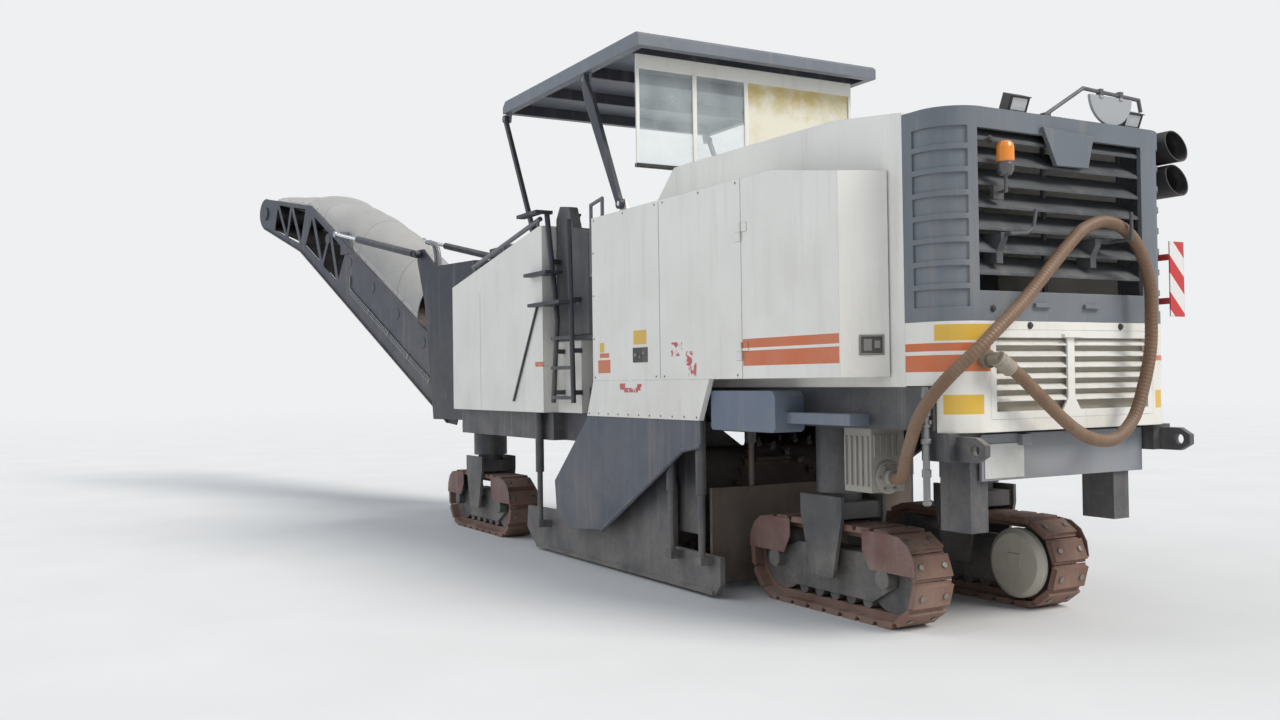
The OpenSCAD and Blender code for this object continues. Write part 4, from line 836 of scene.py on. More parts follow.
@dataclass(frozen=True)
class GlassFinish(Coating):
    """Clear sheet with a film of dust, and an old yellowed pane beyond a line across the machine."""

    film: float = 0.25
    film_colour: Colour = (0.62, 0.58, 0.50)
    rough: float = 0.03
    cover: float = 0.16
    old_from: float = -0.03
    old_colour: Colour = (0.80, 0.77, 0.64)
    old_cover: float = 0.93
    stain_colour: Colour = (0.58, 0.45, 0.17)
    stain_band: Pair = (3.70, 4.00)

    def fill(self, tree: Any) -> None:
        """Mixes the clear sheet's colour and cover with those of the old pane, more stained at its top.

        Args:
            tree: the material's node tree.
        """
        where = object_place(tree)
        across, up = parts_of(tree, where)[1:3]
        dusty = remap(tree, noise(tree, where, scale=2.6, detail=6.0), low=0.35, high=0.75)
        dusty = maths(tree, "MULTIPLY", dusty, self.film)
        clear = maths(tree, "ADD", maths(tree, "MULTIPLY", dusty, 0.9), self.cover, clamp=True)
        band = maths(tree, "MULTIPLY", remap(tree, up, *self.stain_band), 0.30)
        cloudy = noise(tree, where, scale=4.0, detail=7.0, roughness=0.7)
        blotch = remap(tree, maths(tree, "MULTIPLY_ADD", cloudy, 0.9, band), low=0.52, high=0.80)
        yellow = mixed(tree, blotch, self.old_colour, self.stain_colour)
        old = maths(tree, "GREATER_THAN", across, float(place((0, self.old_from, 0))[1]))
        base = mixed(tree, old, mixed(tree, dusty, self.colour, self.film_colour), yellow)
        dense = maths(tree, "MULTIPLY_ADD", blotch, 0.05, self.old_cover)
        alpha = maths(tree, "MAXIMUM", clear, maths(tree, "MULTIPLY", old, dense))
        rough = maths(tree, "ADD", maths(tree, "MULTIPLY", dusty, 0.6), self.rough, clamp=True)
        shader = node(tree, "ShaderNodeBsdfPrincipled", {
            "Base Color": base, "Roughness": rough, "Metallic": 0.0, "Alpha": alpha})
        node(tree, "ShaderNodeOutputMaterial", {0: shader.outputs[0]})


CREAM = (0.80, 0.785, 0.735)
ORANGE = (0.60, 0.13, 0.03)
LABEL = (0.72, 0.44, 0.03)
SMEAR = (0.50, 0.05, 0.06)
SEAM = (0.10, 0.10, 0.10)
MAROON = (0.115, 0.024, 0.020)
HUB = (0.55, 0.52, 0.44)

DOOR_STRIPES = (
    Zone((-1.625, -1.26, 1.645), (-0.635, -1.20, 1.744), ORANGE, 0.16, True),
    Zone((-1.625, -1.26, 1.762), (-0.635, -1.20, 1.822), ORANGE, 0.16, True),
    Zone((-1.645, -1.26, 1.55), (-1.6345, -1.20, 2.90), SEAM, 0.0, True))
PANEL_MARKS = (
    Zone((-3.66, -1.26, 1.785), (-3.58, -1.24, 1.862), LABEL),
    Zone((-3.66, -1.26, 1.742), (-3.50, -1.24, 1.778), ORANGE),
    Zone((-3.69, -1.26, 1.619), (-3.48, -1.24, 1.724), ORANGE),
    Zone((-3.10, -1.26, 1.832), (-2.90, -1.24, 1.940), LABEL),
    Zone((-2.703, -1.26, 1.57), (-2.696, -1.20, 2.88), SEAM, 0.0, True),
    Zone((-2.55, -1.26, 1.73), (-2.39, -1.24, 1.83), SMEAR, 0.50),
    Zone((-2.34, -1.26, 1.66), (-2.24, -1.24, 1.76), SMEAR, 0.46),
    Zone((-2.31, -1.26, 1.58), (-2.20, -1.24, 1.68), SMEAR, 0.48),
    Zone((-3.33, -1.26, 1.485), (-3.24, -1.24, 1.535), SMEAR, 0.44),
    Zone((-3.26, -1.26, 1.465), (-3.04, -1.24, 1.500), SMEAR, 0.44),
    Zone((-3.06, -1.26, 1.480), (-2.98, -1.24, 1.530), SMEAR, 0.44))
REAR_MARKS = (
    Zone((-0.40, -0.98, 1.585), (0.01, -0.64, 1.680), ORANGE, 0.16),
    Zone((-0.40, -0.98, 1.702), (0.01, -0.64, 1.748), ORANGE, 0.16),
    Zone((-0.16, -0.98, 1.760), (0.01, -0.66, 1.852), LABEL),
    Zone((-0.16, -0.93, 1.345), (0.01, -0.735, 1.455), LABEL),
    Zone((-0.10, 0.735, 1.345), (0.01, 0.815, 1.455), LABEL),
    Zone((-0.40, 0.64, 1.640), (0.01, 0.98, 1.672), ORANGE, 0.3))
TANK_MARKS = (
    Zone((-4.92, -1.26, 1.690), (-4.70, -1.20, 1.735), ORANGE, 0.42),
    Zone((-6.233, -1.26, 1.30), (-6.227, -1.20, 2.45), SEAM, 0.0, True))
HUBS_AND_COVERS = (
    Zone((-1.10, -0.452, 0.04), (-0.58, -0.370, 0.56), HUB, 0.0, True),
    Zone((-6.50, -0.758, 0.04), (-5.98, -0.676, 0.56), HUB, 0.0, True),
    Zone((-2.40, -0.7675, 0.345), (-0.40, -0.7580, 0.60), MAROON, 0.2, True),
    Zone((-7.80, -1.0735, 0.345), (-5.80, -1.0640, 0.60), MAROON, 0.2, True))
TAPED_COUPLING = Zone((-0.08, -0.80, 1.50), (0.20, -0.55, 1.75), (0.23, 0.20, 0.16))
# Painted reflection: the mirror's glass is a flat mid grey in place of what it would reflect.
MIRROR_GLASS_REFLECTION = Zone((-0.05, 0.214, 3.05), (-0.01, 0.597, 3.2555), (0.36, 0.37, 0.38))
# Painted shade: the roof's underside is painted near-black blue so it stays dark, as if in shade, even under
# the floor's light.
ROOF_UNDERSIDE_SHADE = Zone((-5.66, -1.119, 4.10), (-3.131, 1.119, 4.2449), (0.022, 0.028, 0.046))
BEACON_FOOT = Zone((-0.10, -0.80, 2.40), (0.20, -0.50, 2.7635), (0.085, 0.08, 0.078))

BODY = Finish("Cream body paint", "body_paint", CREAM, drift=0.05, rough=0.36, coat=0.15, wear=0.55,
              dust=0.55, dust_low=0.9, dust_high=3.4, dust_colour=(0.50, 0.45, 0.38), streaks=0.16)
DOOR = replace(BODY, name="Cream door paint", zones=DOOR_STRIPES)
PANEL = replace(BODY, name="Cream panel paint", zones=PANEL_MARKS)
REAR = replace(BODY, name="Cream rear paint", zones=REAR_MARKS, dust_colour=(0.46, 0.36, 0.25))
TANK = replace(BODY, name="Cream tank paint", zones=TANK_MARKS)
GRILLE = Finish("Beige screen", "body_paint", (0.40, 0.36, 0.29), rough=0.7, dust=0.9, dust_low=1.0,
                dust_high=3.0, grain=90.0, bump=0.35)
FRAME = Finish("Blue black frame paint", "frame_paint", (0.030, 0.035, 0.047), rough=0.42, dust=0.75,
               dust_high=2.6, wear_colour=(0.20, 0.17, 0.15))
LATTICE = replace(FRAME, name="Slate conveyor paint", colour=(0.050, 0.058, 0.078), dust=0.55, dust_high=4.6)
SIDE_PLATE = replace(FRAME, name="Scraped side plate paint", colour=(0.060, 0.064, 0.074), dust=0.95,
                     dust_low=0.0, dust_high=1.5, wear=1.0)
RAIL = replace(FRAME, name="Grey handrail paint", colour=(0.13, 0.14, 0.155), rough=0.32)
PIPE = replace(FRAME, name="Bare grey pipe", colour=(0.24, 0.245, 0.25), rough=0.38, metal=0.5,
               zones=(TAPED_COUPLING,))
# The mirror housing's paint, with a painted reflection over its glass.
MIRROR = replace(FRAME, name="Mirror grey", colour=(0.10, 0.105, 0.11), dust=0.3, zones=(MIRROR_GLASS_REFLECTION,))
GUARD = Finish("Slate guard paint", "guard_paint", (0.062, 0.075, 0.105), rough=0.46, dust=0.62,
               dust_high=1.8, wear_colour=(0.25, 0.23, 0.21))
TRACK = replace(GUARD, name="Dark track frame paint", colour=(0.045, 0.048, 0.055), dust=0.9, dust_high=1.4,
                zones=HUBS_AND_COVERS)
# Roof paint, with a painted shade over its underside.
ROOF = Finish("Roof paint with painted underside shade", "guard_paint", (0.150, 0.170, 0.205), rough=0.42, dust=0.35, dust_low=3.0,
              dust_high=5.5, zones=(ROOF_UNDERSIDE_SHADE,))
STEP = Finish("Grey blue step paint", "step_paint", (0.115, 0.150, 0.215), rough=0.5, dust=0.6,
              dust_high=2.4)
COWL = Finish("Slate cowl moulding", "cowl_plastic", (0.135, 0.155, 0.180), rough=0.52, wear=0.45,
              wear_colour=(0.34, 0.36, 0.37), dust=0.42, dust_low=1.0, dust_high=3.4, grain=420.0, bump=0.22)
LOUVRE = Finish("Dark louvre moulding", "cowl_plastic", (0.060, 0.066, 0.074), rough=0.55, dust=0.7,
                dust_low=1.0, dust_high=4.0, dust_colour=(0.20, 0.20, 0.20))
PLATE = Finish("Grey plate paint", "plate_paint", (0.24, 0.255, 0.28), rough=0.55, dust=0.6, dust_high=2.0)
PUMP = replace(PLATE, name="Dusty pump casting", colour=(0.30, 0.29, 0.265), dust=0.95, bump=0.3)
CAST = Finish("Oily casting", "cast_parts", (0.075, 0.075, 0.08), rough=0.5, metal=0.4, dust=0.6)
STEEL = Finish("Rubbed steel", "worn_steel", (0.17, 0.125, 0.10), rough=0.55, metal=0.55, wear=1.0,
               wear_colour=(0.52, 0.49, 0.46), dust=0.8, dust_high=1.6)
SOOT = Finish("Sooty black paint", "black_steel", (0.018, 0.018, 0.020), rough=0.6, dust=0.3, dust_low=1.0,
              dust_high=4.0, wear_colour=(0.14, 0.10, 0.08))
CHROME = Finish("Oily chrome", "chrome_rod", (0.62, 0.63, 0.64), rough=0.14, metal=1.0, wear=0.0, dust=0.25,
                streaks=0.1, bump=0.03)
BOLT = replace(CHROME, name="Zinc bolts", slot="frame_paint", colour=(0.28, 0.27, 0.25), rough=0.42,
               metal=0.8)
PAD = Finish("Brown track pads", "track_pad", (0.175, 0.090, 0.064), drift=0.25, rough=0.72, wear=0.9,
             wear_colour=(0.36, 0.22, 0.165), dust=1.0, dust_low=0.0, dust_high=1.1,
             dust_colour=(0.36, 0.25, 0.20), bump=0.4)
BELT = Finish("Black belt rubber", "belt_rubber", (0.022, 0.022, 0.024), rough=0.62, dust=0.7, dust_low=0.6,
              dust_high=4.6, bump=0.3)
HOSE = Finish("Brown hose rubber", "hose_rubber", (0.175, 0.095, 0.050), drift=0.18, rough=0.50, wear=0.2,
              wear_colour=(0.30, 0.19, 0.12), dust=0.5, dust_low=0.6, dust_high=3.2,
              dust_colour=(0.36, 0.28, 0.20), streaks=0.2, bump=0.2)
WRAP = replace(HOSE, name="Dirty tape", colour=(0.36, 0.32, 0.26), rough=0.85, dust=0.9, bump=0.8,
               grain=60.0)
TRIM = Finish("Black seat vinyl", "seat_trim", (0.022, 0.022, 0.025), rough=0.48, dust=0.5, dust_low=1.5,
              dust_high=4.0, grain=700.0, bump=0.3)
CONSOLE = replace(TRIM, name="Grey console moulding", colour=(0.060, 0.065, 0.075), rough=0.55, bump=0.2)
CANVAS = ClothFinish("Grey canvas", "canvas", (0.38, 0.375, 0.365), drift=0.12, rough=0.85, wear=0.15,
                     wear_colour=(0.5, 0.48, 0.44), dust=0.6, dust_low=2.0, dust_high=5.5,
                     dust_colour=(0.44, 0.41, 0.36), streak_colour=(0.24, 0.23, 0.22), bump=0.5)
AMBER = Finish("Amber lens", "amber", (0.85, 0.26, 0.015), rough=0.12, coat=0.6, wear=0.0, dust=0.2,
               dust_high=4.0, streaks=0.05, bump=0.02, zones=(BEACON_FOOT,))
LAMP = Finish("Black lamp housing", "lamp_black", (0.02, 0.02, 0.022), rough=0.35, dust=0.4, dust_low=1.0,
              dust_high=4.0)
LENS = replace(LAMP, name="Ribbed lamp glass", colour=(0.55, 0.57, 0.58), rough=0.10, coat=0.6, dust=0.25)
SHEET = StripedFinish("Striped reflective sheet", "reflective", (0.75, 0.72, 0.70), rough=0.4, dust=0.4,
                      dust_high=3.0)
BLANK = replace(SHEET, name="Blank number plate", colour=(0.60, 0.60, 0.57), stripe=(0.60, 0.60, 0.57),
                dust=0.7)
GLASS = GlassFinish("Dusty clear glass", "clear_glass", (0.70, 0.78, 0.80))

NODE_FINISH: dict[str, Coating] = {
    **dict.fromkeys(("engine_hood", "rear_flap"), BODY),
    **dict.fromkeys(("door_left", "door_right"), DOOR),
    **dict.fromkeys(("side_panels", "side_skirts"), PANEL),
    **dict.fromkeys(("chassis", "drum_housing", "platform", "ladders", "primary_conveyor",
                     "conveyor_bracket", "side_plate_cylinders", "slew_tower", "luff_barrels",
                     "canopy_rear_arms", "canopy_front_arms"), FRAME),
    **dict.fromkeys(("side_plate_left", "side_plate_right"), SIDE_PLATE),
    **dict.fromkeys(("track_frame_rl", "track_frame_rr", "track_frame_fl", "track_frame_fr"), TRACK),
    **dict.fromkeys(("track_rl", "track_rr", "track_fl", "track_fr"), PAD),
    **dict.fromkeys(("primary_belt", "conveyor_belt"), BELT),
    **dict.fromkeys(("milling_drum", "scraper_blade"), STEEL),
    **dict.fromkeys(("engine_block", "conveyor_rollers"), CAST),
    "front_body": TANK, "rear_frame": REAR, "handrails": RAIL, "hose_fittings": PIPE, "rear_mirror": MIRROR,
    "drum_shields": GUARD, "conveyor_frame": LATTICE, "canopy_roof": ROOF, "pump_unit": PUMP,
    "rear_cowl": COWL, "rear_louvres": LOUVRE, "rear_plate": PLATE, "operator_station": CONSOLE,
    "side_steps": STEP, "lamps": LAMP, "beacon": AMBER, "exhaust_pipes": SOOT, "warning_board": SHEET,
    "suction_hose": HOSE, "canopy_glass": GLASS, "conveyor_cover": CANVAS, "luff_rods": CHROME,
}


@dataclass(frozen=True)
class Sun:
    """One distant lamp."""

    name: str
    turn: Point
    strength: float
    angle: float
    colour: Colour

    def hang(self) -> None:
        """Adds the lamp to the scene."""
        lamp = bpy.data.lights.new(self.name, "SUN")
        lamp.energy, lamp.angle, lamp.color = self.strength, self.angle, self.colour
        holder = bpy.data.objects.new(self.name, lamp)
        holder.rotation_euler = self.turn
        bpy.context.scene.collection.objects.link(holder)


@dataclass
class Studio:
    """Camera at the photograph's place, pale floor and plain soft light."""

    eye: Point = (4.7776, -5.6667, 1.5688)
    yaw: float = 0.5168
    pitch: float = 0.0161
    roll: float = -0.0139
    focal: float = 33.043
    sensor: float = 36.0
    sees_to: float = 1000.0
    floor_half: float = 400.0
    floor_tones: tuple[Colour, Colour] = ((0.70, 0.70, 0.69), (0.74, 0.735, 0.725))
    fade: Pair = (16.0, 60.0)
    backdrop: tuple[float, ...] = (0.86, 0.87, 0.88, 1.0)
    sky: tuple[float, ...] = (0.80, 0.86, 0.95, 1.0)
    sky_strength: float = 0.62
    suns: tuple[Sun, ...] = (Sun("Key", (0.80, 0.0, 2.05), 2.5, 0.5, (1.0, 0.97, 0.92)),
                             Sun("Fill", (1.0, 0.0, -0.6), 0.65, 0.9, (0.92, 0.96, 1.0)))

    def camera(self) -> None:
        """Makes the camera from its place, its turn, its tilt and its focal length."""
        data = bpy.data.cameras.new("Camera")
        data.sensor_width, data.lens, data.clip_end = self.sensor, self.focal, self.sees_to
        cy, sy = math.cos(self.yaw), math.sin(self.yaw)
        cp, sp = math.cos(self.pitch), math.sin(self.pitch)
        cr, sr = math.cos(self.roll), math.sin(self.roll)
        ahead, right = np.array([-cy * cp, sy * cp, sp]), np.array([sy, cy, 0.0])
        up = np.cross(right, ahead)
        axes = np.stack([right * cr + up * sr, up * cr - right * sr, -ahead, place(self.eye)])
        camera = bpy.data.objects.new("Camera", data)
        camera.matrix_world = Matrix(np.vstack([axes.T, (0, 0, 0, 1)]).tolist())
        bpy.context.scene.collection.objects.link(camera)
        bpy.context.scene.camera = camera

    def floor(self) -> None:
        """A pale floor that fades into the background far from the object."""
        half = self.floor_half
        mesh = bpy.data.meshes.new("Floor")
        corners = [(-half, -half, 0), (half, -half, 0), (half, half, 0), (-half, half, 0)]
        mesh.from_pydata(corners, [], [(0, 1, 2, 3)])
        made = empty_material("Pale floor")
        tree = made.node_tree
        where = object_place(tree)
        share = remap(tree, vector_maths(tree, "LENGTH", where)["Value"], *self.fade)
        spots = remap(tree, noise(tree, where, scale=0.8, detail=6.0), low=0.3, high=0.7)
        tone = mixed(tree, spots, *self.floor_tones)
        lit = node(tree, "ShaderNodeBsdfPrincipled", {"Base Color": tone, "Roughness": 0.9})
        glow = node(tree, "ShaderNodeEmission", {"Color": self.backdrop, "Strength": 1.0})
        both = node(tree, "ShaderNodeMixShader", {0: share, 1: lit.outputs[0], 2: glow.outputs[0]})
        node(tree, "ShaderNodeOutputMaterial", {0: both.outputs[0]})
        mesh.materials.append(made)
        floor = bpy.data.objects.new("Floor", mesh)
        bpy.context.scene.collection.objects.link(floor)

    def world(self) -> None:
        """An even sky that lights the object, with the backdrop's white where the camera sees it."""
        world = bpy.data.worlds.new("Studio")
        world.use_nodes = True
        tree = world.node_tree
        tree.nodes.clear()
        rays = node(tree, "ShaderNodeLightPath").outputs
        seen = maths(tree, "MAXIMUM", rays["Is Camera Ray"], rays["Is Transmission Ray"])
        sky = node(tree, "ShaderNodeBackground", {"Color": self.sky, "Strength": self.sky_strength})
        white = node(tree, "ShaderNodeBackground", {"Color": self.backdrop, "Strength": 1.0})
        both = node(tree, "ShaderNodeMixShader", {0: seen, 1: sky.outputs[0], 2: white.outputs[0]})
        node(tree, "ShaderNodeOutputWorld", {0: both.outputs[0]})
        bpy.context.scene.world = world

    def build(self) -> None:
        """Sets up the whole studio: a broad warm key light from the rear right and a weak cool one."""
        self.camera()
        self.floor()
        for sun in self.suns:
            sun.hang()
        self.world()
        bpy.context.scene.view_settings.view_transform = "Standard"


@dataclass
class SuctionHose:
    """The brown suction hose, along the same points as its solid, in thousandths of a metre."""

    radius: float = 0.038
    rib_pitch: float = 0.024
    rib_height: float = 0.0009
    step: float = 0.004
    route: tuple[tuple[int, int, int], ...] = (
        (105, -660, 1610), (118, -570, 1552), (132, -370, 1390), (140, -190, 1260), (145, -20, 1185),
        (145, 170, 1180), (140, 340, 1290), (140, 440, 1480), (140, 510, 1700), (135, 530, 1900),
        (130, 530, 2100), (120, 460, 2300), (105, 350, 2420), (90, 190, 2465), (90, 20, 2420),
        (100, -120, 2330), (115, -350, 2140), (120, -560, 1960), (120, -760, 1810), (100, -900, 1690),
        (20, -1000, 1570), (-90, -1040, 1450), (-190, -1050, 1330), (-265, -1040, 1200),
        (-340, -1010, 1090), (-430, -950, 1005), (-520, -880, 965), (-580, -845, 951), (-620, -835, 950),
        (-640, -835, 950))

    def build(self) -> None:
        """Sweeps a tube along the route, its radius less rib height (1 - cos of the way in ribs)."""
        path = place(smooth_path(np.array(self.route) / 1000, self.step))
        along = run_along(path)
        ribs = self.rib_height * np.cos(2 * np.pi * along / self.rib_pitch)
        shape = tube(path, self.radius - self.rib_height + ribs, 20, (1.0, 0.2, 0.1))
        hose = build("suction_hose_ribbed", shape, HOSE, "frame", 80)
        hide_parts("suction_hose")


@dataclass
class ConveyorCover:
    """Canvas arched over the conveyor's side frames, on hoops, with its hem, seams and eyelets."""

    half: float = 0.4955
    rise: Outline = ((1.75, 0.56), (2.88, 0.573), (3.77, 0.438), (4.69, 0.185), (5.9, 0.085))
    bend: Pair = (4.727, 4.137)
    head: Pair = (6.261, 4.422)
    lift: float = 0.002
    slack: float = 0.001
    rows: int = 169
    columns: int = 65
    thickness: float = 0.003
    hoops: int = 7
    hoop_radius: float = 0.010
    hoop_inset: float = 0.017
    hoop_ends: Pair = (0.006, 0.994)
    hoop_feet: float = 0.05
    sag: float = 0.014
    hem: float = 4.6
    eyelet_pitch: float = 0.26
    eyelet_rise: float = 0.035
    eyelet: Outline = ((0.006, 0.0), (0.013, 0.0), (0.014, 0.0015), (0.012, 0.003), (0.006, 0.003))

    def way(self, t: Any) -> Any:
        """Distance along the conveyor at share t of the cover."""
        return self.rise[0][0] + (self.rise[-1][0] - self.rise[0][0]) * t

    def edge(self, s: Array) -> Array:
        """Height of the side frame's top edge, piecewise linear in the distance s.

        Args:
            s: distances along the conveyor.
        Returns:
            A height for each.
        """
        start = self.rise[0][0]
        low = self.bend[1] + (start - self.bend[0]) * math.tan(CONVEYOR_CLIMB)
        return np.interp(s, [start, self.bend[0], self.head[0]], [low, self.bend[1], self.head[1]])

    def height(self, s: Any) -> Array:
        """Rise of the arch at distance s, on a smooth curve through the table."""
        curve = smooth_path([(distance, 0.0, rise) for distance, rise in self.rise], 0.02)
        return np.interp(s, curve[:, 0], curve[:, 2])

    def surface(self, t: Array, a: Array, inset: Any = 0.0) -> Array:
        """Point (s, (half - inset) cos a, edge height + (rise - inset) sin a), s running with t.

        Args:
            t: share of the cover's length.
            a: angle round the arch, 0 at one hem and pi at the other.
            inset: how far inside the full arch.
        Returns:
            (..., 3) points in conveyor coordinates.
        """
        s = self.way(t)
        up = self.edge(s) + self.lift + (self.height(s) - inset) * np.sin(a)
        return np.stack([s, (self.half - inset) * np.cos(a), up], -1)

    def build(self) -> None:
        """The sheet sinks between hoops by sag sin^2(pi t n); hoops and eyelets follow the same surface."""
        shares, angles = np.linspace(0, 1, self.rows), np.linspace(0, np.pi, self.columns)
        t, a = np.meshgrid(shares, angles, indexing="ij")
        hollow = self.sag * np.sin(np.pi * t * self.hoops) ** 2
        points = self.surface(t, a, hollow * np.sqrt(np.abs(np.sin(a))) + self.slack)
        shape = Shape().add(on_conveyor(points.reshape(-1, 3)), grid_quads(self.rows, self.columns))
        across = np.cumsum(np.linalg.norm(np.diff(points, axis=1), axis=2), axis=1)
        arc = np.concatenate([np.zeros((self.rows, 1)), across], axis=1)
        along = np.cumsum(np.linalg.norm(np.diff(points, axis=0), axis=2), axis=0)
        along = np.concatenate([np.zeros((1, self.columns)), along], axis=0)
        uv = np.stack([np.minimum(arc, arc[:, -1:] - arc), along], -1).reshape(-1, 2)
        cover = build("conveyor_canvas", shape, CANVAS, "conveyor", 60, uv=uv)
        thick = cover.modifiers.new("Cloth", "SOLIDIFY")
        thick.thickness, thick.offset = self.thickness, -1.0
        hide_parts("conveyor_cover")
        self.hoop_tubes()
        self.eyelets()

    def hoop_tubes(self) -> None:
        """Steel hoops under the sheet where it is highest between its hollows."""
        hoops = Shape()
        a = np.linspace(self.hoop_feet, np.pi - self.hoop_feet, 33)
        for k in range(self.hoops + 1):
            t = np.full_like(a, np.clip(k / self.hoops, *self.hoop_ends))
            path = on_conveyor(self.surface(t, a, self.hoop_inset))
            hoops.join(tube(path, self.hoop_radius, 8, (1.0, 0.05, 0.6)))
        build("cover_hoops", hoops, LATTICE, "conveyor", 60)

    def eyelets(self) -> None:
        """Brass rings along both hems, turned about the sheet's own normal."""
        rings = Shape()
        count = int(self.hem / self.eyelet_pitch)
        nearby = ((0, 0), (0.001, 0), (0, 0.01))
        for t in (np.arange(count) + 0.5) / count:
            foot = self.eyelet_rise / float(self.height(self.way(t)))
            for angle in (foot, np.pi - foot):
                here, ahead, beside = (self.surface(np.array(t + d), np.array(angle + e)) for d, e in nearby)
                normal = np.cross(ahead - here, beside - here)
                normal *= np.sign(normal[1] * here[1])
                base = on_conveyor(here)
                rings.join(turned(self.eyelet, base, on_conveyor(here + normal) - base, 10))
        build("cover_eyelets", rings, BOLT, "conveyor", 40)

    @staticmethod
    def patch_area(points: Array) -> float:
        """Area of a grid surface: the sum of half the cross products of its faces' diagonals.

        Args:
            points: (rows, columns, 3) points.
        Returns:
            The area.
        """
        first = points[1:, 1:] - points[:-1, :-1]
        second = points[1:, :-1] - points[:-1, 1:]
        return 0.5 * np.linalg.norm(np.cross(first, second), axis=-1).sum()


@dataclass
class ConveyorTrim:
    """Pale edge strips and steel oil lines along the conveyor, and bent pipes on its tower."""

    side: float = 0.525
    foot: Pair = (1.04, 1.07)
    strip_reach: Pair = (0.02, 4.73)
    strip_rise: Pair = (0.002, 0.012)
    strip_thick: float = 0.002
    line_rises: tuple[float, ...] = (0.20, 0.225, 0.25)
    line_inset: float = 0.012
    line_radius: float = 0.008
    line_stagger: float = 0.02
    clips: tuple[float, ...] = (0.6, 1.2, 1.8, 2.4)
    clip_width: float = 0.03
    clip_depth: float = 0.025
    clip_rise: Pair = (0.185, 0.265)
    pipe: tuple[Point, ...] = (
        (1.10, -0.56, 2.70), (1.10, -0.56, 3.05), (1.16, -0.56, 3.22), (1.32, -0.56, 3.28))
    pipe_radius: float = 0.024
    pipe_gap: float = 0.075
    collar_at: Point = (1.10, -0.56, 2.95)
    collar: Outline = ((0.0, 0.0), (0.034, 0.0), (0.034, 0.03), (0.0, 0.03))

    def beside_edge(self, u: float, h: float) -> Pair:
        """A point u along the lower section's bottom edge and h square to it."""
        c, q = math.cos(CONVEYOR_CLIMB), math.sin(CONVEYOR_CLIMB)
        return self.foot[0] + u * c - h * q, self.foot[1] + u * q + h * c

    def panel(self, reach: Pair, rise: Pair) -> list[Pair]:
        """The corners of a rectangle beside the edge, from its reach along it and its rise from it."""
        corners = ((reach[0], rise[0]), (reach[1], rise[0]), (reach[1], rise[1]), (reach[0], rise[1]))
        return [self.beside_edge(u, h) for u, h in corners]

    def oil_line(self, side: Side, number: int) -> Shape:
        """One line that runs along the side and turns up into the frame, a little after the one before.

        Args:
            side: the conveyor's side.
            number: which of the lines, from the lowest.
        Returns:
            The line as a tube.
        """
        rise, late = self.line_rises[number], self.line_stagger * number
        bends = ((0.35, 0.02), (1.0, 0.0), (2.2, 0.0), (2.9 + late, 0.0), (3.05 + late, 0.04),
                 (3.10 + late, 0.16))
        y = side.value * (self.side - self.line_inset)
        flat = [self.beside_edge(u, rise + extra) for u, extra in bends]
        route = smooth_path([(forward, y, up) for forward, up in flat], 0.03)
        return tube(on_conveyor(route), self.line_radius, 8, (0.2, 1.0, 0.1))

    def build(self) -> None:
        """Makes the strips, the oil lines with their clips, and the tower's pipes."""
        strips, lines, clips, pipes = Shape(), Shape(), Shape(), Shape()
        for side in Side:
            proud = side.span(self.side, self.side + self.strip_thick)
            strips.join(prism(self.panel(self.strip_reach, self.strip_rise), *proud))
            for number in range(len(self.line_rises)):
                lines.join(self.oil_line(side, number))
            sunk = side.span(self.side - self.clip_depth, self.side)
            for u in self.clips:
                clips.join(prism(self.panel((u, u + self.clip_width), self.clip_rise), *sunk))
        for shift in ((0.0, 0.0, 0.0), (self.pipe_gap, 0.0, 0.0)):
            route = smooth_path(np.array(self.pipe) + shift, 0.02)
            pipes.join(tube(on_conveyor(route), self.pipe_radius, 12, (0.1, 1.0, 0.0)))
            collar_at = on_conveyor(np.array(self.collar_at) + shift)
            pipes.join(turned(self.collar, collar_at, (0, 0, 1), 8))
        build("conveyor_edge_strips", strips.moved(on_conveyor, mirrored=True), BODY, "conveyor")
        build("conveyor_oil_lines", lines, PIPE, "conveyor", 60)
        build("conveyor_line_clips", clips.moved(on_conveyor, mirrored=True), BOLT, "conveyor", bevel=0.002)
        build("tower_pipes", pipes, PIPE, "tower", 50)


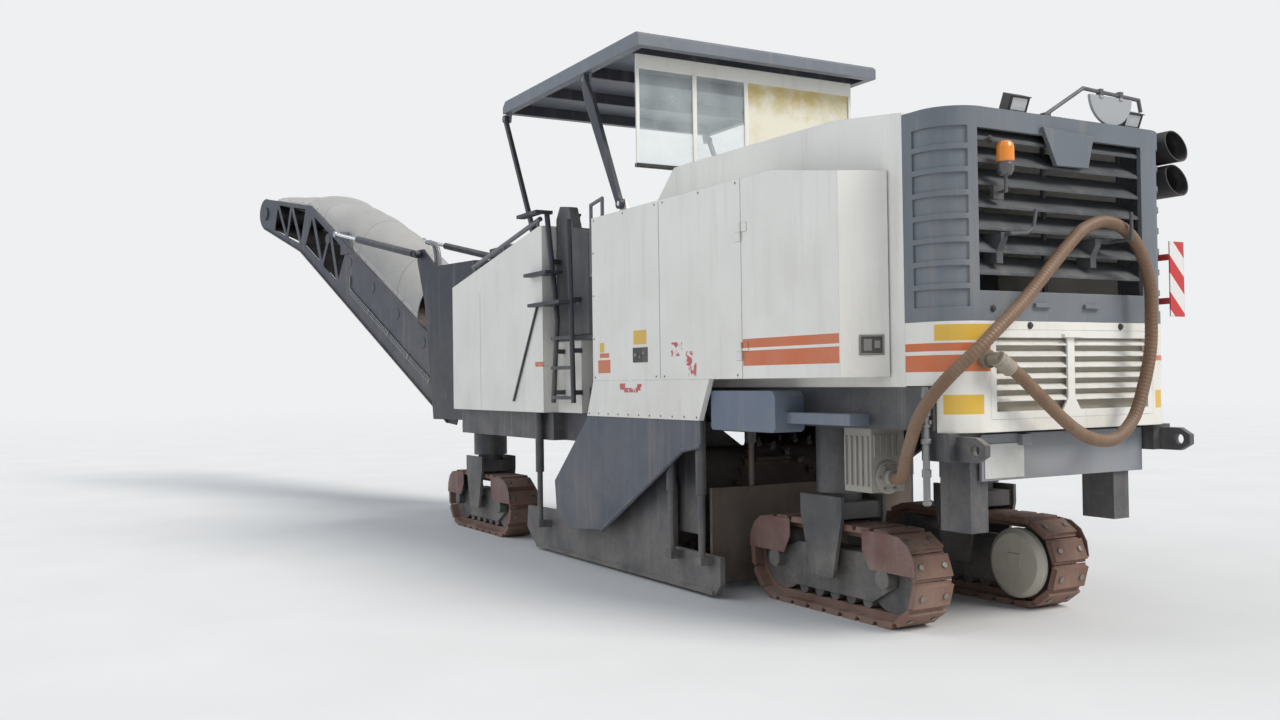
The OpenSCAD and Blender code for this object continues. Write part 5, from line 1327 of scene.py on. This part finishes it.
@dataclass
class Lamps:
    """Ribbed glasses with a rim before the two work lamps."""

    tilt: float = math.radians(22)
    centres: tuple[Point, ...] = ((-0.095, -0.350, 3.155), (-0.095, 0.655, 3.155))
    back: float = 0.0352
    front: float = 0.0375
    rib: float = 0.0015
    ribs: int = 9
    glass_half: Pair = (0.062, 0.036)
    rim_front: float = 0.043
    rim_inner: Pair = (0.063, 0.038)
    rim_outer: Pair = (0.073, 0.049)
    rows: int = 7
    columns: int = 73

    def build(self) -> None:
        """A rim and a ribbed glass for each lamp, turned by its tilt."""
        glasses, rims = Shape(), Shape()
        (yi, zi), (yo, zo) = self.rim_inner, self.rim_outer
        bars = ((-yo, yo, -zo, -zi), (-yo, yo, zi, zo), (-yo, -yi, -zi, zi), (yi, yo, -zi, zi))
        glass = self.glass()
        for centre in self.centres:
            def turn(points: Array, middle: Point = centre) -> Array:
                """Moves lamp coordinates to one lamp."""
                return place(tilted(points, self.tilt, middle))
            glasses.join(glass.moved(turn))
            for y0, y1, z0, z1 in bars:
                rims.join(box((self.back, y0, z0), (self.rim_front, y1, z1)).moved(turn))
        build("lamp_glasses", glasses, LENS, "frame", 50)
        build("lamp_rims", rims, LAMP, "frame", bevel=0.0015)

    def glass(self) -> Shape:
        """A flat back and a ribbed front, x = front + rib |sin (ribs pi y)|, joined round their edges.

        Returns:
            The closed glass.
        """
        half_y, half_z = self.glass_half
        heights = np.linspace(-half_z, half_z, self.rows)
        z, y = np.meshgrid(heights, np.linspace(-half_y, half_y, self.columns), indexing="ij")
        wave = np.abs(np.sin(self.ribs * np.pi * (y + half_y) / (2 * half_y)))
        front = np.stack([self.front + self.rib * wave, y, z], -1).reshape(-1, 3)
        back = np.column_stack([np.full(len(front), self.back), front[:, 1:]])
        grid, rim = grid_quads(self.rows, self.columns), self.around()
        beside = np.roll(rim, -1)
        skirt = np.stack([rim + len(front), beside + len(front), beside, rim], -1)
        return Shape().add(np.vstack([front, back]), np.vstack([grid, grid[:, ::-1] + len(front), skirt]))

    def around(self) -> Array:
        """Numbers of the glass grid's outer points, once round.

        Returns:
            The point numbers.
        """
        rows, columns = self.rows, self.columns
        top = np.arange(columns)
        right = np.arange(1, rows) * columns + columns - 1
        bottom = (rows - 1) * columns + np.arange(columns - 2, -1, -1)
        return np.concatenate([top, right, bottom, np.arange(rows - 2, 0, -1) * columns])


@dataclass
class Windscreen:
    """Pale rails and posts of the rear windscreen and its black lower seal."""

    x: float = -3.295
    half: float = 1.09
    low: float = 3.25
    rail_low: float = 4.035
    high: float = 4.15
    posts: tuple[Pair, ...] = ((-1.09, -1.06), (-0.05, -0.01), (1.06, 1.09), (-0.56, -0.52))
    bar_depth: Pair = (0.0055, 0.017)
    seal_depth: Pair = (0.0055, 0.022)
    seal_height: float = 0.03

    def build(self) -> None:
        """Bars behind the sheet and seals on both its faces, with rounded edges."""
        bars, seals = Shape(), Shape()
        near, far = (self.x + depth for depth in self.bar_depth)
        bars.join(box((near, -self.half, self.rail_low), (far, self.half, self.high)))
        for y0, y1 in self.posts:
            bars.join(box((near, y0, self.low), (far, y1, self.rail_low)))
        for face in (-1, 1):
            x0, x1 = sorted(self.x + face * depth for depth in self.seal_depth)
            seals.join(box((x0, -self.half, self.low), (x1, self.half, self.low + self.seal_height)))
        build("windscreen_bars", bars.moved(place), BODY, "roof", bevel=0.003)
        build("windscreen_seals", seals.moved(place), SOOT, "roof", bevel=0.003)


@dataclass(frozen=True)
class Cushion:
    """A crowned cushion with three sewn channels and piping, of the right side's seat."""

    name: str
    middle: Point
    half: Point
    lean: float = 0.0
    rings: int = 49
    sides: int = 96
    roundness: tuple[float, float, float] = (0.28, 0.30, 0.42)
    channels: tuple[float, ...] = (-0.45, 0.05, 0.55)
    channel_width: float = 0.022
    channel_depth: float = 0.13
    crown: float = 0.16
    flank: float = 0.86
    piping: float = 0.02
    piping_at: float = 0.55
    piping_width: float = 0.10

    @staticmethod
    def power(base: Array, exponent: float) -> Array:
        """The size of base raised to exponent, with the sign of base."""
        return np.sign(base) * np.abs(base) ** exponent

    def shape(self) -> Shape:
        """A superellipsoid, crowned, a little wider at its piping and sunk at its channels.

        Its x is cos v ^ side cos u ^ plan, its y is cos v ^ side sin u ^ plan and its z is sin v ^ top, and
        each power keeps its base's sign.

        Returns:
            The closed cushion, in machine coordinates.
        """
        v, u = np.meshgrid(np.linspace(-np.pi / 2, np.pi / 2, self.rings),
                           np.linspace(-np.pi, np.pi, self.sides, endpoint=False), indexing="ij")
        plan, side, top = self.roundness
        x = self.power(np.cos(v), side) * self.power(np.cos(u), plan)
        y = self.power(np.cos(v), side) * self.power(np.sin(u), plan)
        z = self.power(np.sin(v), top)
        sunk = sum(np.exp(-((x - c) / self.channel_width) ** 2) for c in self.channels) * np.clip(z, 0, 1)
        crown = self.crown * (1 - x ** 2) * (1 - y ** 2)
        wider = 1 + self.piping * np.exp(-((z - self.piping_at) / self.piping_width) ** 2)
        p = np.stack([x * wider, y * wider, z * (self.flank + crown) - self.channel_depth * sunk], -1)
        p = tilted(p * self.half, self.lean, self.middle)
        points = np.vstack([p[1:-1].reshape(-1, 3), p[0].mean(0), p[-1].mean(0)])
        return Shape().add(points, *ring_faces(self.rings - 2, self.sides))


@dataclass
class OperatorStation:
    """Two seats on their stands, and a console with levers on each side."""

    stand: tuple[Point, Point] = ((-4.555, 0.565, 1.95), (-4.365, 0.755, 2.32))
    seat_plate: tuple[Point, Point] = ((-4.66, 0.48, 2.315), (-4.22, 0.84, 2.342))
    cushions: tuple[Cushion, ...] = (
        Cushion("seat_cushion", (-4.44, 0.66, 2.382), (0.262, 0.222, 0.055)),
        Cushion("seat_back", (-4.165, 0.66, 2.695), (0.278, 0.196, 0.050), math.radians(-83.5)))
    consoles: tuple[tuple[Outline, float, float], ...] = (
        (((-4.40, 1.951), (-4.40, 2.90), (-4.48, 3.09), (-4.66, 3.115), (-4.735, 3.01), (-4.735, 1.951)),
         1.015, 1.107),
        (((-4.12, 1.951), (-4.12, 2.84), (-4.405, 2.90), (-4.405, 1.951)), 1.016, 1.106),
        (((-4.60, 2.5), (-4.64, 2.98), (-4.735, 2.96), (-4.735, 2.5)), 0.90, 1.016))
    levers: tuple[Pair, ...] = ((-4.62, 0.93), (-4.62, 0.97), (-4.66, 0.95))
    lever_rise: tuple[Pair, ...] = ((0.0, 2.965), (0.004, 3.00), (0.01, 3.03))
    lever_radius: float = 0.004
    knob: Outline = ((0, 0), (0.010, 0.004), (0.013, 0.014), (0.009, 0.024), (0, 0.027))
    button: Outline = ((0, 0), (0.011, 0), (0.010, 0.008), (0, 0.009))
    first_button: Point = (-4.34, 1.06, 2.886)
    button_step: Point = (0.045, 0.0, -0.0095)
    buttons: int = 5

    def controls(self) -> Shape:
        """The right side's levers with their knobs, and a row of buttons down the low console.

        Returns:
            The controls in machine coordinates.
        """
        made = Shape()
        for x, y in self.levers:
            stick = np.array([(x + back, y, z) for back, z in self.lever_rise])
            made.join(tube(stick, self.lever_radius, 8, (0.1, 1.0, 0.0)))
            made.join(turned(self.knob, stick[-1], (0.1, 0, 1), 16))
        one = turned(self.button, self.first_button, (0.2, 0, 1), 14)
        made.join(repeated(one, np.arange(self.buttons)[:, None] * np.array(self.button_step)))
        return made

    def build(self) -> None:
        """Models the right side once, and brings it to both sides."""
        stands, shells, levers = Shape(), Shape(), Shape()
        for side in Side:
            for low, high in (self.stand, self.seat_plate):
                stands.join(box(low, high).on_side(side))
            for outline, y0, y1 in self.consoles:
                shells.join(prism(outline, y0, y1).on_side(side))
            levers.join(self.controls().on_side(side))
            for cushion in self.cushions:
                name = f"{cushion.name}_{side.name.lower()}"
                build(name, cushion.shape().on_side(side), TRIM, "frame", 70)
        station = build("seat_stands", stands, SOOT, "frame", bevel=0.006)
        build("console_shells", shells, CONSOLE, "frame", bevel=0.008)
        build("console_levers", levers, TRIM, "frame", 50)
        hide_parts("operator_station")


@dataclass
class DoorLatches:
    """A framed paddle latch on the slanting end of each rear side door."""

    corner: Pair = (-0.63, 1.245)
    along: Pair = (0.4365, -0.8999)
    out: Pair = (0.8999, 0.4365)
    frame_boxes: tuple[tuple[Point, Point], ...] = (
        ((0.115, 1.690, 0.0), (0.265, 1.702, 0.006)), ((0.115, 1.798, 0.0), (0.265, 1.810, 0.006)),
        ((0.115, 1.702, 0.0), (0.127, 1.798, 0.006)), ((0.253, 1.702, 0.0), (0.265, 1.798, 0.006)),
        ((0.140, 1.715, 0.0015), (0.190, 1.785, 0.005)), ((0.205, 1.730, 0.0015), (0.240, 1.775, 0.007)))
    pan_box: tuple[Point, Point] = ((0.127, 1.702, 0.0), (0.253, 1.798, 0.0015))

    def on_end(self, points: Array) -> Array:
        """Moves (along the end face, up, outwards) to the right door; this mirrors what it moves.

        Args:
            points: (n, 3) points by the end face.
        Returns:
            The points in machine coordinates.
        """
        along, up, out = points.T
        return np.stack([self.corner[0] + self.along[0] * along + self.out[0] * out,
                         self.corner[1] + self.along[1] * along + self.out[1] * out, up], -1)

    def build(self) -> None:
        """Gathers the frame's boxes and the pan for each door."""
        for side, body in ((Side.LEFT, "door_l"), (Side.RIGHT, "door_r")):
            frames = Shape()
            for low, high in self.frame_boxes:
                frames.join(box(low, high).moved(self.on_end, mirrored=True).on_side(side))
            pan = box(*self.pan_box).moved(self.on_end, mirrored=True).on_side(side)
            build(f"latch_frame_{body}", frames, BOLT, body, bevel=0.001)
            build(f"latch_pan_{body}", pan, LAMP, body, bevel=0.0005)


@dataclass
class SmallPlates:
    """Lock panel with its keys, blank number plate, the hose coupling's tape and the flap's screen."""

    lock_panel: tuple[Point, Point] = ((-3.105, -1.251, 1.695), (-2.885, -1.245, 1.808))
    lock_face: float = -1.250
    locks: tuple[Point, ...] = ((-3.06, 1.752, 0.018), (-2.99, 1.735, 0.012), (-2.93, 1.765, 0.016))
    number_plate: tuple[Point, Point] = ((-0.1398, -0.60, 0.962), (-0.134, -0.28, 1.165))
    screen: tuple[Point, Point] = ((-0.050, -0.66, 1.345), (-0.046, 0.69, 1.785))
    coupling: Point = (0.105, -0.66, 1.61)
    coupling_way: Point = (0.106, 0.821, -0.561)
    tape_reach: Pair = (-0.085, 0.035)
    tape_radius: float = 0.0440
    tape_turns: Pair = (0.0035, 92)
    tape_creases: Pair = (0.002, 310)

    def build(self) -> None:
        """Makes each plate on the face that carries it."""
        build("lock_panel", box(*self.lock_panel).moved(place), LAMP, "frame", bevel=0.002)
        keys = Shape()
        for x, z, radius in self.locks:
            key = ((0, 0), (radius, 0), (radius * 0.8, 0.008), (0, 0.009))
            keys.join(turned(key, place((x, self.lock_face, z)), (0, -1, 0), 18))
        build("lock_keys", keys, BOLT, "frame", 40)
        build("number_plate", box(*self.number_plate).moved(place), BLANK, "frame", bevel=0.002)
        build("coupling_tape", self.tape(), WRAP, "frame", 60)
        build("flap_screen", box(*self.screen).moved(place), GRILLE, "frame")

    def tape(self) -> Shape:
        """A tube of radius + turn |sin w s| + crease sin w s along the coupling.

        Returns:
            The tape in the row frame.
        """
        reach = np.linspace(*self.tape_reach, 61)
        (turn, turn_rate), (crease, crease_rate) = self.tape_turns, self.tape_creases
        wound = turn * np.abs(np.sin(reach * turn_rate)) + crease * np.sin(reach * crease_rate)
        path = np.array(self.coupling) + reach[:, None] * np.array(self.coupling_way)
        return tube(place(path), self.tape_radius + wound, 20, (1.0, 0.2, 0.1))


@dataclass
class BodyBolts:
    """Domed rivets along the skirts and the panels' edges, and bolts on the rear frame."""

    side: float = 1.245
    dome: Outline = ((0.0, -0.001), (0.0085, -0.001), (0.0085, 0.001), (0.006, 0.004), (0.0, 0.005))
    skirt_row: tuple[float, float, float] = (-3.86, -2.2, 0.165)
    skirt_z: float = 1.292
    upper_z: float = 2.865
    upper_row: tuple[float, ...] = (-3.74, -3.25, -2.76, -2.64, -2.15, -1.69)
    lower_z: float = 1.585
    lower_row: tuple[float, ...] = (-3.74, -2.76, -2.64, -1.69)
    front_x: float = -3.755
    front_row: tuple[float, ...] = (1.9, 2.25, 2.6)
    bolt: Outline = ((0.0, -0.002), (0.021, -0.002), (0.021, 0.004), (0.013, 0.006), (0.013, 0.014),
                     (0.0, 0.015))
    bolts: tuple[Point, ...] = (
        (0.0, -0.60, 1.842), (0.0, -0.36, 1.846), (0.0, 0.42, 1.846), (0.0, 0.70, 1.842),
        (0.0, -0.655, 1.94), (0.0, -0.655, 2.9), (0.0, 0.70, 1.94))

    def build(self) -> None:
        """Repeats one rivet along its rows on both sides, and one bolt at its places."""
        heads = Shape()
        spots = [(x, self.side, self.skirt_z) for x in np.arange(*self.skirt_row)]
        spots += [(x, self.side, self.upper_z) for x in self.upper_row]
        spots += [(x, self.side, self.lower_z) for x in self.lower_row]
        spots += [(self.front_x, self.side, z) for z in self.front_row]
        for side in Side:
            one = turned(self.dome, (0, 0, 0), (0, side.value, 0), 10)
            heads.join(repeated(one, place(np.array(spots) * (1, side.value, 1))))
        build("panel_rivets", heads, BOLT, "frame", 45)
        bolt = turned(self.bolt, (0, 0, 0), (1, 0, 0), 12)
        build("rear_bolts", repeated(bolt, place(self.bolts)), SOOT, "frame", 40)


@dataclass
class PumpFittings:
    """Flange, bolts and ribs on the pump, and the clamps of the upright pipe by the rear corner."""

    flange_at: Point = (-0.70, -0.835, 0.95)
    flange: Outline = ((0.052, -0.004), (0.096, -0.004), (0.100, 0.002), (0.100, 0.014), (0.094, 0.018),
                       (0.052, 0.018))
    nut: Outline = ((0.0, -0.002), (0.011, -0.002), (0.011, 0.010), (0.006, 0.011), (0.006, 0.016),
                    (0.0, 0.0165))
    nuts: int = 6
    nut_circle: float = 0.078
    nut_x: float = -0.682
    ribs: int = 5
    side_rib: tuple[Point, Point] = ((-0.935, -0.974, 0.90), (-0.923, -0.960, 1.20))
    side_step: Point = (0.05, 0.0, 0.0)
    rear_rib: tuple[Point, Point] = ((-0.700, -0.945, 1.075), (-0.686, -0.935, 1.21))
    rear_step: Point = (0.0, 0.046, 0.0)
    pipe: Pair = (-0.20, -0.988)
    pipe_radius: float = 0.0195
    chamfer: Pair = (0.002, 0.003)
    clamps: tuple[tuple[float, float, float], ...] = (
        (1.335, 0.030, 0.035), (1.27, 0.026, 0.020), (1.18, 0.030, 0.030), (0.99, 0.027, 0.045),
        (0.835, 0.026, 0.020))

    def build(self) -> None:
        """The cast flange and ribs as one piece, the nuts and the clamps as another."""
        cast, steel = Shape(), Shape()
        cast.join(turned(self.flange, place(self.flange_at), (1, 0, 0), 40))
        angle = np.arange(self.nuts) * 2 * math.pi / self.nuts
        circle = self.nut_circle * np.stack([np.cos(angle), np.sin(angle)], -1) + self.flange_at[1:]
        spots = np.column_stack([np.full(self.nuts, self.nut_x), circle])
        steel.join(repeated(turned(self.nut, (0, 0, 0), (1, 0, 0), 6), place(spots)))
        for number in range(self.ribs):
            for rib, step in ((self.side_rib, self.side_step), (self.rear_rib, self.rear_step)):
                cast.join(box(*(place(corner) + number * np.array(step) for corner in rib)))
        inwards, upwards = self.chamfer
        bore = self.pipe_radius
        for z, radius, tall in self.clamps:
            edge = radius - inwards
            clamp = ((bore, 0.0), (edge, 0.0), (radius, upwards), (radius, tall - upwards), (edge, tall),
                     (bore, tall))
            steel.join(turned(clamp, place((*self.pipe, z)), (0, 0, 1), 24))
        build("pump_flange_and_ribs", cast, PUMP, "frame", 40)
        build("pipe_clamps_and_flange_bolts", steel, PIPE, "frame", 40)


@dataclass
class TrackBolts:
    """Two bolt heads on every track pad."""

    length: float = 1.73
    height: float = 0.606
    thick: float = 0.038
    shoes: int = 23
    across: Pair = (-0.095, 0.095)
    trodden: float = 0.12
    bolt: Outline = ((0.0, -0.004), (0.020, -0.004), (0.020, 0.0), (0.0165, 0.0007), (0.0165, 0.0014),
                     (0.0, 0.0016))
    units: tuple[tuple[str, float, float], ...] = (
        ("rl", -1.41, -0.604), ("rr", -1.41, 0.604), ("fl", -6.81, -0.910), ("fr", -6.81, 0.910))

    def loop(self) -> tuple[Array, Array]:
        """The shoes round the loop: top run, rear arc, bottom run and front arc in turn.

        Returns:
            Each shoe's distance behind the loop's middle, and how far it has turned from the top run.
        """
        radius = self.height / 2 - self.thick
        run, arc = self.length - self.height, math.pi * radius
        way = (np.arange(self.shoes) + 0.5) * 2 * (run + arc) / self.shoes
        parts = [way < run, way < run + arc, way < 2 * run + arc]
        turn = np.select(parts, [0.0 * way, (way - run) / radius, np.pi + 0.0 * way],
                         np.pi + (way - 2 * run - arc) / radius)
        behind = [way - run / 2, run / 2 + 0.0 * way, run / 2 - (way - run - arc)]
        return np.select(parts, behind, -run / 2), turn

    def build(self) -> None:
        """A bolt stands on each pad, turned with it round the loop, and is trodden flat under it."""
        bolt = turned(self.bolt, (0, 0, 0), (0, 0, 1), 8)
        behind, turn = self.loop()
        under = np.abs(turn - math.pi) < 0.01
        for name, x, y in self.units:
            heads = Shape()
            for shoe in range(self.shoes):
                for across in self.across:
                    def on_pad(points: Array, number: int = shoe, aside: float = across) -> Array:
                        """Moves a bolt to its pad: out by the loop's half height, flattened if under it.

                        Args:
                            points: (n, 3) points of the bolt.
                            number: the shoe's number.
                            aside: the bolt's distance from the pad's middle.
                        Returns:
                            The points in the row frame.
                        """
                        flat = self.trodden if under[number] else 1.0
                        z = points[:, 2] * np.where(points[:, 2] > 0, flat, 1.0) + self.height / 2
                        p = np.column_stack([points[:, 0], points[:, 1] + aside, z])
                        return place(tilted(p, turn[number], (behind[number] + x, y, self.height / 2)))

                    heads.join(bolt.moved(on_pad))
            build(f"pad_bolts_{name}", heads, BOLT, f"track_unit_{name}", 40)


@dataclass
class Dressing:
    """Gives every node that stays its finish."""

    finishes: dict[str, Coating] = field(default_factory=NODE_FINISH.copy)

    def build(self) -> None:
        """Puts each node's material in its first slot."""
        for name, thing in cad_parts.items():
            finish = self.finishes[name]
            thing.data.materials.clear()
            thing.data.materials.append(finish.material())
            LOG.info("%s wears %s", name, finish.name)


def main() -> None:
    """Builds the studio and every sub-assembly in order."""
    logging.basicConfig(level=logging.INFO, format="%(message)s")
    parts = (Studio(), SuctionHose(), ConveyorCover(), ConveyorTrim(), Lamps(), Windscreen(),
             OperatorStation(), DoorLatches(), SmallPlates(), BodyBolts(), PumpFittings(), TrackBolts(),
             Dressing())
    for part in parts:
        part.build()
        LOG.info("built %s", type(part).__name__)


if __name__ == "__main__":
    main()
